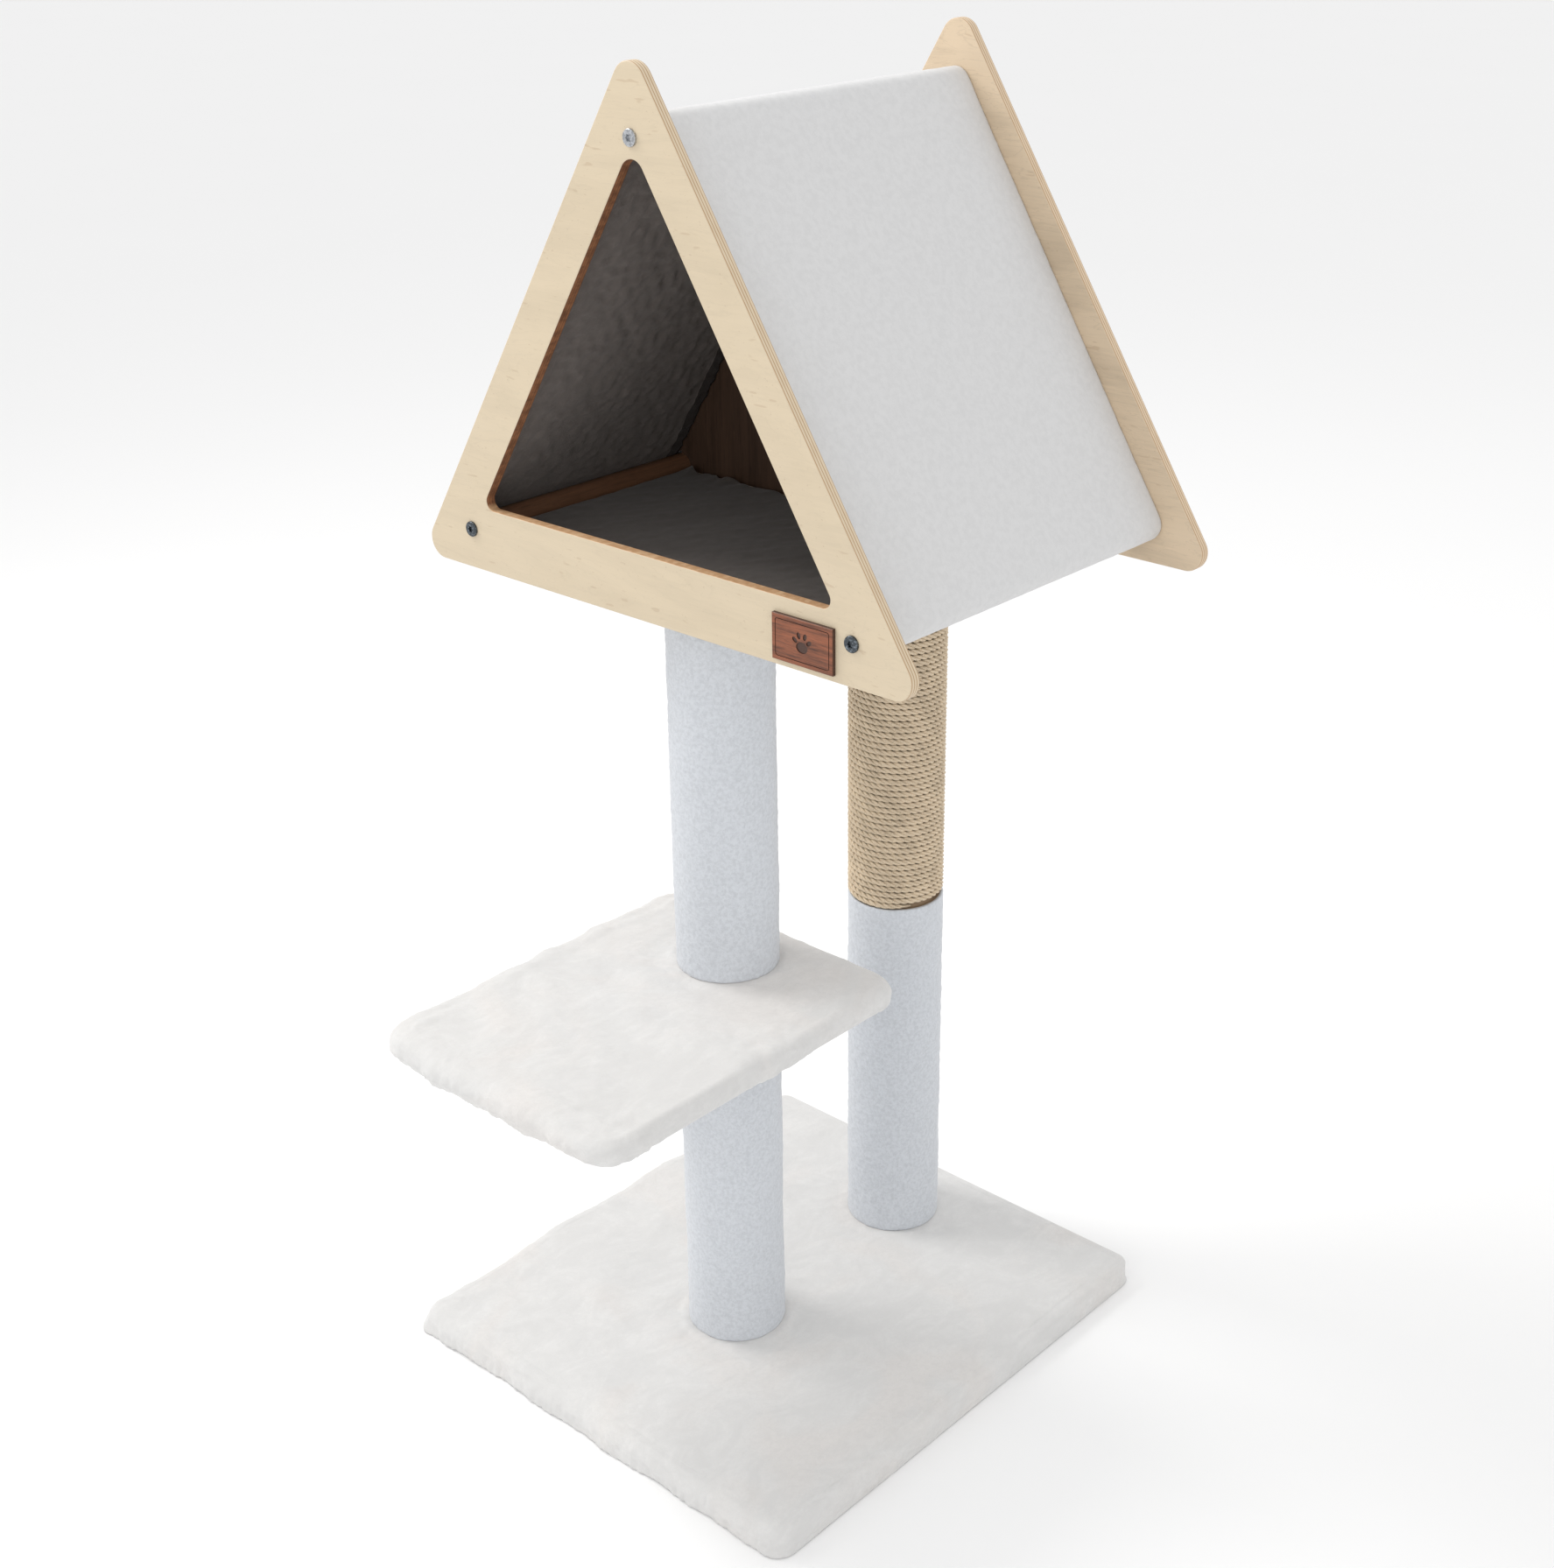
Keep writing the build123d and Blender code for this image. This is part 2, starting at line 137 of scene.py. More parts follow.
class Graph:
    """The node tree of one material."""

    def __init__(self, name: str) -> None:
        """Start a material with a single Principled shader.

        Args:
            name: The material's name.
        """
        self.material = bpy.data.materials.new(name)
        self.material.use_nodes = True
        self.tree = self.material.node_tree
        self.shader = next(n for n in self.tree.nodes if n.type == "BSDF_PRINCIPLED")

    def node(self, kind: str, settings: dict[str, Any] | None = None,
             inputs: dict[int | str, Any] | None = None) -> bpy.types.Node:
        """Add a node.

        Args:
            kind: The node's type name, without the ShaderNode prefix.
            settings: Properties set before the sockets; "stops" fills a colour ramp.
            inputs: Values, sockets or Values for its input sockets, by name or index.

        Returns:
            The new node.
        """
        made = self.tree.nodes.new("ShaderNode" + kind)
        for key, value in (settings or {}).items():
            if key == "stops":
                self._fill_ramp(made.color_ramp, value)
            else:
                setattr(made, key, value)
        for key, value in (inputs or {}).items():
            self.feed(made.inputs[key], value)
        return made

    @staticmethod
    def _fill_ramp(ramp: bpy.types.ColorRamp, stops: Sequence[tuple[float, Colour]]) -> None:
        """Give a colour ramp its stops.

        Args:
            ramp: The ramp.
            stops: Pairs of position and colour, in order.
        """
        while len(ramp.elements) < len(stops):
            ramp.elements.new(1.0)
        for element, (place, colour) in zip(ramp.elements, stops):
            element.position = place
            element.color = (*colour, 1.0)

    def feed(self, socket: bpy.types.NodeSocket, value: Any) -> None:
        """Link or set one input socket.

        Args:
            socket: The input.
            value: A Value, a socket, a number, or a colour or vector.
        """
        if isinstance(value, Value):
            value = value.socket
        if isinstance(value, bpy.types.NodeSocket):
            self.tree.links.new(value, socket)
        elif socket.type == "RGBA" and len(value) == 3:
            socket.default_value = (*value, 1.0)
        else:
            socket.default_value = value

    def math(self, operation: str, *values: Number) -> Value:
        """Add a Math node."""
        made = self.node("Math", {"operation": operation}, dict(enumerate(values)))
        return Value(self, made.outputs[0])

    def ramp_value(self, value: Number, low: float, high: float, to_low: float = 0.0,
                   to_high: float = 1.0) -> Value:
        """Map a range of values to another, clamped and smooth.

        Args:
            value: What to map.
            low: Start of its range.
            high: End of its range.
            to_low: Result at the start.
            to_high: Result at the end.

        Returns:
            The mapped value.
        """
        limits = {"From Min": low, "From Max": high, "To Min": to_low, "To Max": to_high}
        made = self.node("MapRange", {"interpolation_type": "SMOOTHSTEP"}, {"Value": value, **limits})
        return Value(self, made.outputs[0])

    def place(self, stretch: Point = (1.0, 1.0, 1.0)) -> bpy.types.NodeSocket:
        """Object-space position in metres, scaled per axis."""
        return self.scaled(self.node("TexCoord").outputs["Object"], stretch)

    def axes(self, vector: bpy.types.NodeSocket) -> tuple[Value, Value, Value]:
        """Split a vector."""
        split = self.node("SeparateXYZ", None, {0: vector})
        return tuple(Value(self, out) for out in split.outputs)

    def scaled(self, vector: bpy.types.NodeSocket, factors: Point) -> bpy.types.NodeSocket:
        """Scale a vector per axis."""
        return self.node("VectorMath", {"operation": "MULTIPLY"}, {0: vector, 1: factors}).outputs[0]

    def facing(self) -> tuple[Value, Value, Value]:
        """The surface normal's X, Y and Z values in the model's frame."""
        return self.axes(self.node("NewGeometry").outputs["Normal"])

    def noise(self, vector: bpy.types.NodeSocket, scale: float, detail: float = 3.0, rough: float = 0.55,
              twist: float = 0.0) -> Value:
        """Noise texture."""
        inputs = {"Vector": vector, "Scale": scale, "Detail": detail, "Roughness": rough, "Distortion": twist}
        return Value(self, self.node("TexNoise", None, inputs).outputs[0])

    def cells(self, vector: bpy.types.NodeSocket, scale: float) -> Value:
        """Voronoi distance."""
        made = self.node("TexVoronoi", None, {"Vector": vector, "Scale": scale})
        return Value(self, made.outputs["Distance"])

    def mix(self, factor: Number, first: Any, second: Any, blend: str = "MIX") -> bpy.types.NodeSocket:
        """Mix two colours.

        Args:
            factor: 0 gives the first, 1 the second.
            first: A colour or colour socket.
            second: A colour or colour socket.
            blend: The node's blend type.

        Returns:
            The colour socket.
        """
        made = self.node("Mix", {"data_type": "RGBA", "blend_type": blend, "clamp_factor": True},
                         {0: factor, 6: first, 7: second})
        return made.outputs[2]

    def ramp(self, value: Number, stops: Sequence[tuple[float, Colour]]) -> bpy.types.NodeSocket:
        """Colour ramp."""
        return self.node("ValToRGB", {"stops": stops}, {0: value}).outputs[0]

    def bump(self, height: Number, depth: float, strength: float) -> bpy.types.NodeSocket:
        """Bump from a height."""
        inputs = {"Strength": strength, "Distance": depth, "Height": height}
        return self.node("Bump", None, inputs).outputs[0]

    def surface(self, inputs: dict[str, Any]) -> None:
        """Feed the shader's own inputs, each by its socket's name."""
        for name, value in inputs.items():
            self.feed(self.shader.inputs[name], value)


def shade(colour: Colour, factor: float) -> Colour:
    """Scale a colour."""
    return tuple(min(1.0, c * factor) for c in colour)


# --------------------------------------------------------------------------------------------------
# Finishes
# --------------------------------------------------------------------------------------------------
@dataclass(frozen=True)
class Finish:
    """A named surface finish. Subclasses draw it in dress()."""

    name: str
    colour: Colour
    roughness: float = 0.6

    def make(self) -> bpy.types.Material:
        """Build the material.

        Returns:
            The material, dressed.
        """
        graph = Graph(self.name)
        graph.surface({"Base Color": self.colour, "Roughness": self.roughness})
        graph.material.diffuse_color = (*self.colour, 1.0)
        self.dress(graph)
        return graph.material

    def dress(self, graph: Graph) -> None:
        """Add the finish's own nodes."""
        raise NotImplementedError


@dataclass(frozen=True)
class Pile(Finish):
    """Short plush pile: fine fibres, brushed streaks where the pile lies over, painted shade, and a soft
    sheen.
    """

    roughness: float = 1.0
    fibre: float = 1100.0
    clump: float = 260.0
    streak: float = 24.0
    patch: float = 8.0
    depth: float = 0.55 * MM
    contrast: float = 0.10
    sheen: float = 0.30

    def dress(self, graph: Graph) -> None:
        """Paint shade on some brushed streaks and patches and in the pile's low spots, and raise fibres and
        small clumps.

        Args:
            graph: The material's graph.
        """
        where = graph.place()
        fibres = graph.noise(where, self.fibre, 2.0, 0.7)
        clumps = graph.noise(graph.place((1.0, 0.7, 1.0)), self.clump, 3.0, 0.6, 0.8)
        streaks = graph.noise(graph.place((1.0, 0.62, 1.0)), self.streak, 4.0, 0.6, 2.6)
        patches = graph.noise(where, self.patch, 3.0, 0.5, 1.0)
        height = fibres * 0.4 + clumps * 0.6
        # Painted shade: some brushed streaks and patches are painted darker, standing in for how the laid
        # pile catches the light.
        laid_pile_shade = graph.ramp_value(streaks * 0.55 + patches * 0.45, 0.38, 0.62)
        # Painted shade: where the fibres and clumps are low, the colour is painted darker.
        fleck = graph.ramp_value(height, 0.36, 0.60)
        colour = graph.mix(laid_pile_shade, shade(self.colour, 1.0 - self.contrast * 0.7), self.colour)
        colour = graph.mix(fleck, graph.mix(0.5, colour, shade(self.colour, 1.0 - self.contrast)), colour)
        warm = graph.mix(graph.ramp_value(patches, 0.45, 0.68), colour, (0.992, 0.972, 0.960), "MULTIPLY")
        graph.surface({"Base Color": warm, "Sheen Weight": self.sheen, "Sheen Roughness": 0.6,
                       "Specular IOR Level": 0.1,
                       "Normal": graph.bump(height * 0.7 + streaks * 0.5, self.depth, 0.7)})


@dataclass(frozen=True)
class Felt(Finish):
    """Needled felt: fine crossing fibres over soft lumps."""

    roughness: float = 0.92
    lump: float = 160.0
    fibre: float = 1500.0
    depth: float = 0.35 * MM
    contrast: float = 0.10
    fleck: float = 0.0
    sheen: float = 0.2
    blotch: float = 0.0
    shaded_from: float | None = None
    end_shade: Colour = (0.040, 0.027, 0.020)

    def dress(self, graph: Graph) -> None:
        """Draw the lumps, the two fibre directions and the flecks, with painted shade in the hollows and,
        where asked, towards the rear end.

        Args:
            graph: The material's graph.
        """
        lumps = graph.noise(graph.place(), self.lump, 4.0, 0.6, 0.3)
        along = graph.noise(graph.place((0.25, 1.0, 1.0)), self.fibre, 2.0, 0.6, 1.2)
        across = graph.noise(graph.place((1.0, 0.8, 0.25)), self.fibre, 2.0, 0.6, 1.2)
        fibres = (along + across) * 0.5
        height = lumps * 0.6 + fibres * 0.4
        # Partly the felt's own uneven tone, partly painted shade: the colour is darker where the lumps and
        # fibres are low.
        hollow = shade(self.colour, 1.0 - self.contrast)
        colour = graph.mix(graph.ramp_value(height, 0.38, 0.60), hollow, self.colour)
        if self.blotch:
            mottled = graph.ramp_value(graph.noise(graph.place(), 75.0, 3.0, 0.6, 0.6), 0.40, 0.62)
            colour = graph.mix(mottled, shade(self.colour, 1.0 - self.blotch), colour)
        if self.fleck:
            pale = graph.ramp_value(fibres, 0.60, 0.72) * self.fleck
            colour = graph.mix(pale, colour, shade(self.colour, 1.7))
        # Painted shade: the felt's last stretch towards its rear end is painted near black brown, as shade
        # deep in the den, with a paler line painted just in front of it.
        if self.shaded_from is not None:
            _, y, _ = graph.axes(graph.place())
            blur, lip = 0.4 * MM, 0.9 * MM
            colour = graph.mix(y.above(self.shaded_from - lip, blur) * 0.5, colour, shade(self.colour, 1.6))
            colour = graph.mix(y.above(self.shaded_from, blur), colour, self.end_shade)
        graph.surface({"Base Color": colour, "Sheen Weight": self.sheen, "Sheen Roughness": 0.5,
                       "Specular IOR Level": 0.2, "Normal": graph.bump(height, self.depth, 0.9)})


@dataclass(frozen=True)
class Plywood(Finish):
    """Lacquered birch plywood: pale veneer faces, and layered edges across the board's thickness (Y)."""

    roughness: float = 0.42
    front: float = 0.0
    ply: float = 10.0 * MM / 7
    cut: Colour = (0.46, 0.295, 0.16)
    # Colour of the painted shade on the doorway's cut edge.
    burn_and_shade: Colour = (0.205, 0.088, 0.040)
    figure: float = 0.5
    doorway: tuple[float, float, float] | None = None

    def dress(self, graph: Graph) -> None:
        """Draw veneer grain on the faces, plies on the edges, and painted shade on the doorway's cut edge.

        Args:
            graph: The material's graph.
        """
        face = self._veneer(graph)
        x, y, z = graph.axes(graph.place())
        _, ny, nz = graph.facing()
        layer = graph.math("PINGPONG", (y - self.front) / self.ply + 0.55, 1.0)
        streak = graph.noise(graph.place((1.0, 4.0, 1.0)), 60.0, 4.0, 0.6)
        cross = graph.ramp_value(layer + streak * 0.25, 0.66, 0.95)
        plies = graph.mix(cross, shade(self.colour, 1.08), self.cut)
        rim = graph.ramp_value(streak, 0.35, 0.7)
        plies = graph.mix(rim * 0.12, plies, self.cut)
        if self.doorway is not None:
            plies = self._doorway_shade(graph, plies, layer, x, z, nz)
        flat = graph.ramp_value(abs(ny), 0.55, 0.8)
        graph.surface({"Base Color": graph.mix(flat, plies, face)})
        grain = graph.noise(graph.place((0.05, 1.0, 1.0)), 420.0, 4.0, 0.6, 0.4)
        height = grain * flat + layer * (1.0 - flat) * 0.6
        graph.surface({"Roughness": 0.36 + grain * 0.18 + (1.0 - flat) * 0.2,
                       "Normal": graph.bump(height, 0.10 * MM, 0.55), "Coat Weight": 0.12,
                       "Coat Roughness": 0.3})

    def _veneer(self, graph: Graph) -> bpy.types.NodeSocket:
        """Rotary-cut birch: long wavy growth bands, fine pores and a few flecks along X.

        Args:
            graph: The material's graph.

        Returns:
            The veneer's colour.
        """
        bands = graph.noise(graph.place((0.16, 1.0, 1.0)), 24.0, 5.0, 0.55, 1.4)
        fine = graph.noise(graph.place((0.05, 1.0, 1.0)), 420.0, 4.0, 0.7, 0.4)
        cloud = graph.noise(graph.place((0.6, 1.0, 1.0)), 11.0, 4.0, 0.6, 0.8)
        tone = bands * 0.40 + fine * 0.22 + cloud * 0.38
        colour = graph.ramp(tone, ((0.32, shade(self.colour, 1.0 - 0.22 * self.figure)),
                                   (0.45, shade(self.colour, 1 - 0.09 * self.figure)),
                                   (0.53, self.colour), (0.68, shade(self.colour, 1.05))))
        ring = graph.math("FRACT", (bands + cloud * 0.25) * 11.0)
        line = graph.ramp_value(abs(ring - 0.5), 0.0, 0.09, 1.0, 0.0)
        colour = graph.mix(line * (0.30 * self.figure), colour, shade(self.colour, 0.74))
        grey = graph.ramp_value(cloud, 0.42, 0.72)
        colour = graph.mix(grey * 0.35, colour, (0.93, 0.94, 0.96), "MULTIPLY")
        fleck = graph.noise(graph.place((0.22, 1.0, 1.0)), 240.0, 1.0, 0.4)
        colour = graph.mix(graph.ramp_value(fleck, 0.70, 0.76) * 0.26, colour, shade(self.cut, 0.8))
        dash = graph.noise(graph.place((0.55, 1.0, 1.0)), 520.0, 2.0, 0.5)
        return graph.mix(graph.ramp_value(dash, 0.69, 0.75) * 0.26, colour, shade(self.cut, 0.7))

    def _doorway_shade(self, graph: Graph, plies: bpy.types.NodeSocket, layer: Value, x: Value, z: Value,
                nz: Value) -> bpy.types.NodeSocket:
        """Paint shade on the doorway's cut edge: dark brown where it faces sideways or down, tan on the
        up-facing sill.

        Args:
            graph: The material's graph.
            plies: The edge colour so far.
            layer: Place within a ply.
            x: Position across.
            z: Height.
            nz: How far the surface faces up.

        Returns:
            The edge colour with the painted shade.
        """
        half, sill, apex = self.doorway
        margin = 3.0 * MM
        slope = (apex - sill) / half
        inside = (apex - z - abs(x) * slope).above(-margin * slope, MM)
        inside = inside * (z - sill).above(-margin, MM)
        edge_mottle = graph.noise(graph.place((1.0, 0.6, 1.0)), 170.0, 3.0, 0.6)
        # Painted shade: the doorway's side and top edges are painted dark brown and the up-facing sill tan,
        # by which way each faces.
        dark = graph.mix(graph.ramp_value(edge_mottle, 0.35, 0.65), self.burn_and_shade, shade(self.burn_and_shade, 1.9))
        dark = graph.mix(graph.ramp_value(layer, 0.6, 0.95) * 0.6, dark, shade(self.burn_and_shade, 0.45))
        tan = graph.mix(graph.ramp_value(edge_mottle, 0.4, 0.7), (0.56, 0.32, 0.16), (0.70, 0.46, 0.26))
        edge = graph.mix(graph.ramp_value(nz, 0.3, 0.8), dark, tan)
        return graph.mix(inside, plies, edge)


@dataclass(frozen=True)
class StraightGrain(Finish):
    """Solid or stained wood with grain along one axis, and darker engraving or end grain where asked."""

    roughness: float = 0.5
    along: Point = (0.06, 1.0, 1.0)
    grain: float = 260.0
    contrast: float = 0.45
    coat: float = 0.0
    engraved: tuple[float, Colour] | None = None

    def dress(self, graph: Graph) -> None:
        """Draw grain, pores and, on the badge, the burnt engraving and edges.

        Args:
            graph: The material's graph.
        """
        bands = graph.noise(graph.place(self.along), self.grain * 0.25, 4.0, 0.6, 1.2)
        fine = graph.noise(graph.place(self.along), self.grain, 4.0, 0.7, 0.3)
        pores = graph.noise(graph.place(self.along), self.grain * 3.2, 2.0, 0.6)
        tone = bands * 0.5 + fine * 0.5
        colour = graph.ramp(tone, ((0.32, shade(self.colour, 1.0 - self.contrast)), (0.5, self.colour),
                                   (0.68, shade(self.colour, 1.0 + self.contrast * 0.6))))
        pore = graph.ramp_value(pores, 0.58, 0.68)
        colour = graph.mix(pore * 0.5, colour, shade(self.colour, 0.45))
        if self.engraved is not None:
            face, burn_and_shade = self.engraved
            _, y, _ = graph.axes(graph.place())
            _, ny, _ = graph.facing()
            sunk = (y - face).above(0.35 * MM, 0.2 * MM)
            side = 1.0 - graph.ramp_value(abs(ny), 0.4, 0.9)
            colour = graph.mix(graph.math("MAXIMUM", sunk, side), colour, burn_and_shade)
        graph.surface({"Base Color": colour, "Roughness": self.roughness - 0.1 + fine * 0.2,
                       "Coat Weight": self.coat,
                       "Normal": graph.bump(fine * 0.6 - pore * 0.4, 0.14 * MM, 0.6)})


@dataclass(frozen=True)
class Chips(Finish):
    """Pressed wood chips or wound card: blotches of fibre at two sizes."""

    roughness: float = 0.85
    chip: float = 220.0
    stretch: Point = (1.0, 1.0, 1.0)

    def dress(self, graph: Graph) -> None:
        """Draw chips of three tones.

        Args:
            graph: The material's graph.
        """
        where = graph.place(self.stretch)
        chips = graph.cells(where, self.chip)
        dust = graph.noise(where, self.chip * 3.0, 3.0, 0.7)
        colour = graph.ramp(chips * 0.9 + dust * 0.4, ((0.25, shade(self.colour, 0.72)), (0.5, self.colour),
                                                       (0.8, shade(self.colour, 1.18))))
        graph.surface({"Base Color": colour, "Normal": graph.bump(chips + dust * 0.5, 0.2 * MM, 0.5)})


@dataclass(frozen=True)
class PlatedMetal(Finish):
    """Plated steel or turned brass: fine brushing, dull patches and, below a height, painted shade."""

    roughness: float = 0.32
    shaded_below: float | None = None
    # Colour of the painted shade below that height.
    dark: Colour = (0.075, 0.085, 0.095)

    def dress(self, graph: Graph) -> None:
        """Vary the roughness and the tone of the plating, and paint shade below the given height.

        Args:
            graph: The material's graph.
        """
        brushed = graph.noise(graph.place((1.0, 0.3, 1.0)), 2600.0, 2.0, 0.6)
        dull = graph.noise(graph.place(), 420.0, 3.0, 0.6)
        colour = graph.mix(graph.ramp_value(dull, 0.4, 0.66), shade(self.colour, 0.62), self.colour)
        if self.shaded_below is not None:
            # Painted shade: below the given height the plating is painted dark, with darker and lighter
            # blotches.
            _, _, z = graph.axes(graph.place())
            mottled = graph.mix(graph.ramp_value(dull, 0.50, 0.68), self.dark, shade(self.dark, 3.2))
            colour = graph.mix(z.above(self.shaded_below, MM), mottled, colour)
        graph.surface({"Base Color": colour, "Metallic": 1.0,
                       "Roughness": self.roughness - 0.08 + dull * 0.22,
                       "Normal": graph.bump(brushed, 0.02 * MM, 0.5)})


@dataclass(frozen=True)
class Sisal(Finish):
    """Hard twisted leaf fibre: streaks along each strand, and painted shade in the valleys between strands.
    """

    roughness: float = 0.72
    dark: Colour = (0.22, 0.145, 0.078)
    fineness: tuple[float, float] = (110.0, 26.0)
    valley_shade: tuple[float, float] = (3.4 * MM, 1.5 * MM)
    valley_shade_tone: float = 0.55
    post: Point = (0.0, 0.0, 1.0)

    def dress(self, graph: Graph) -> None:
        """Draw fibres from the strand map, which runs along and round each strand, and paint shade in the
        valleys.

        Args:
            graph: The material's graph.
        """
        strand = graph.node("UVMap", {"uv_map": "strand"}).outputs[0]
        fibres = graph.noise(graph.scaled(strand, (*self.fineness, 1.0)), 1.0, 3.0, 0.65, 0.4)
        batch = graph.noise(graph.place(), 55.0, 3.0, 0.6, 0.4)
        tone = fibres * 0.80 + batch * 0.20
        colour = graph.ramp(tone, ((0.32, self.dark), (0.44, shade(self.colour, 0.78)), (0.54, self.colour),
                                   (0.70, shade(self.colour, 1.25))))
        # Painted shade: strand surface that lies deep towards the post is painted darker, down to a dark
        # brown in the valleys.
        x, y, _ = graph.axes(graph.place())
        post_x, post_y, reach = self.post
        away = ((x - post_x) ** 2.0 + (y - post_y) ** 2.0) ** 0.5
        deep, shallow = self.valley_shade
        shown = graph.ramp_value(away, reach - deep, reach - shallow, self.valley_shade_tone, 1.0)
        colour = graph.mix(1.0 - shown, colour, shade(self.dark, 0.5))
        graph.surface({"Base Color": colour, "Roughness": self.roughness - 0.1 + fibres * 0.25,
                       "Specular IOR Level": 0.3, "Normal": graph.bump(fibres, 0.35 * MM, 0.9)})


@dataclass(frozen=True)
class Sheeting(Finish):
    """Foam or rubber sheet with a fine closed-cell texture."""

    roughness: float = 0.8

    def dress(self, graph: Graph) -> None:
        """Draw cells and slight scuffs.

        Args:
            graph: The material's graph.
        """
        cell = graph.cells(graph.place(), 900.0)
        scuff = graph.noise(graph.place(), 30.0, 4.0, 0.6)
        colour = graph.mix(graph.ramp_value(scuff, 0.45, 0.7), self.colour, shade(self.colour, 1.35))
        graph.surface({"Base Color": colour, "Normal": graph.bump(cell, 0.15 * MM, 0.5)})


@dataclass(frozen=True)
class StudioFloor(Finish):
    """Seamless pale floor with the faintest unevenness."""

    roughness: float = 0.9

    def dress(self, graph: Graph) -> None:
        """Soften the floor's single tone.

        Args:
            graph: The material's graph.
        """
        haze = graph.noise(graph.place(), 1.5, 2.0, 0.5)
        graph.surface({"Base Color": graph.mix(haze, shade(self.colour, 0.99), self.colour),
                       "Specular IOR Level": 0.1})


# --------------------------------------------------------------------------------------------------
# Mesh building
# --------------------------------------------------------------------------------------------------
class Grid(Enum):
    """How a grid of points closes."""

    OPEN = "open"
    TUBE = "tube"
    RING = "ring"


def grid_faces(rows: int, columns: int, closing: Grid = Grid.OPEN, start: int = 0) -> Faces:
    """Quads over a grid of points numbered row by row.

    Args:
        rows: Number of rows.
        columns: Points in each row.
        closing: TUBE joins each row's ends, RING joins the last row to the first too.
        start: Number of the first point.

    Returns:
        The quads.
    """
    wide = columns if closing is not Grid.OPEN else columns - 1
    tall = rows if closing is Grid.RING else rows - 1
    faces = []
    for r in range(tall):
        low, high = start + r * columns, start + ((r + 1) % rows) * columns
        for c in range(wide):
            d = (c + 1) % columns
            faces.append((low + c, low + d, high + d, high + c))
    return faces


def band_faces(low: list[int], high: list[int]) -> Faces:
    """Quads between two rings of the same length, the lower one first."""
    size = len(low)
    return [(low[k], low[(k + 1) % size], high[(k + 1) % size], high[k]) for k in range(size)]


class Waves:
    """Smooth seeded noise for moving points: a sum of plane waves about one wavelength."""

    def __init__(self, seed: int, length: float, count: int = 26) -> None:
        """Draw the waves.

        Args:
            seed: Seed of the draw.
            length: Typical wavelength in metres.
            count: Number of waves.
        """
        draw = np.random.default_rng(seed)
        aim = draw.normal(size=(count, 3))
        aim /= np.linalg.norm(aim, axis=1, keepdims=True)
        spread = draw.uniform(0.65, 1.6, size=(count, 1))
        self.k = aim * 2 * math.pi / (length * spread)
        self.phase = draw.uniform(0, 2 * math.pi, count)
        self.scale = math.sqrt(2.0 / count)

    def at(self, points: np.ndarray) -> np.ndarray:
        """Noise at points."""
        return np.sin(points @ self.k.T + self.phase).sum(axis=1) * self.scale * 0.7


def normals_of(mesh: bpy.types.Mesh) -> np.ndarray:
    """Vertex normals of a mesh.

    Args:
        mesh: The mesh.

    Returns:
        One unit vector per vertex.
    """
    out = np.empty(len(mesh.vertices) * 3, np.float32)
    mesh.vertex_normals.foreach_get("vector", out)
    return out.reshape(-1, 3).astype(float)


def points_of(mesh: bpy.types.Mesh) -> np.ndarray:
    """Vertex positions of a mesh.

    Args:
        mesh: The mesh.

    Returns:
        One position per row.
    """
    out = np.empty(len(mesh.vertices) * 3, np.float32)
    mesh.vertices.foreach_get("co", out)
    return out.reshape(-1, 3).astype(float)


def move_points(mesh: bpy.types.Mesh, points: np.ndarray) -> None:
    """Put a mesh's vertices at new positions."""
    mesh.vertices.foreach_set("co", np.ascontiguousarray(points, np.float32).ravel())
    mesh.update()


def smooth_mesh(name: str, points: np.ndarray, faces: Faces, finish: bpy.types.Material) -> bpy.types.Mesh:
    """Make a mesh that is shaded smooth.

    Args:
        name: The mesh's name.
        points: Its vertices.
        faces: Its faces.
        finish: Its material.

    Returns:
        The new mesh.
    """
    mesh = bpy.data.meshes.new(name)
    mesh.from_pydata([tuple(map(float, p)) for p in points], [], faces)
    mesh.validate()
    mesh.materials.append(finish)
    mesh.polygons.foreach_set("use_smooth", [True] * len(mesh.polygons))
    return mesh


def new_piece(name: str, points: np.ndarray, faces: Faces, finish: bpy.types.Material) -> bpy.types.Object:
    """Make a mesh piece that rides on the tree.

    Args:
        name: The piece's name.
        points: Its vertices.
        faces: Its faces.
        finish: Its material.

    Returns:
        The new object.
    """
    piece = bpy.data.objects.new(name, smooth_mesh(name, points, faces, finish))
    bpy.context.scene.collection.objects.link(piece)
    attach(piece, BODY)
    return piece


def bake_modifiers(piece: bpy.types.Object) -> None:
    """Apply all of a piece's modifiers.

    Args:
        piece: The piece.
    """
    graph = bpy.context.evaluated_depsgraph_get()
    mesh = bpy.data.meshes.new_from_object(piece.evaluated_get(graph))
    piece.modifiers.clear()
    old = piece.data
    piece.data = mesh
    bpy.data.meshes.remove(old)


def refine(piece: bpy.types.Object) -> None:
    """Subdivide a piece once and apply it.

    Args:
        piece: The piece.
    """
    finer = piece.modifiers.new("finer", "SUBSURF")
    finer.levels = finer.render_levels = 1
    bake_modifiers(piece)


def centre_of(node: str) -> np.ndarray:
    """Centre of a CAD node's box."""
    low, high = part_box(node)
    return (np.array(low) + np.array(high)) / 2


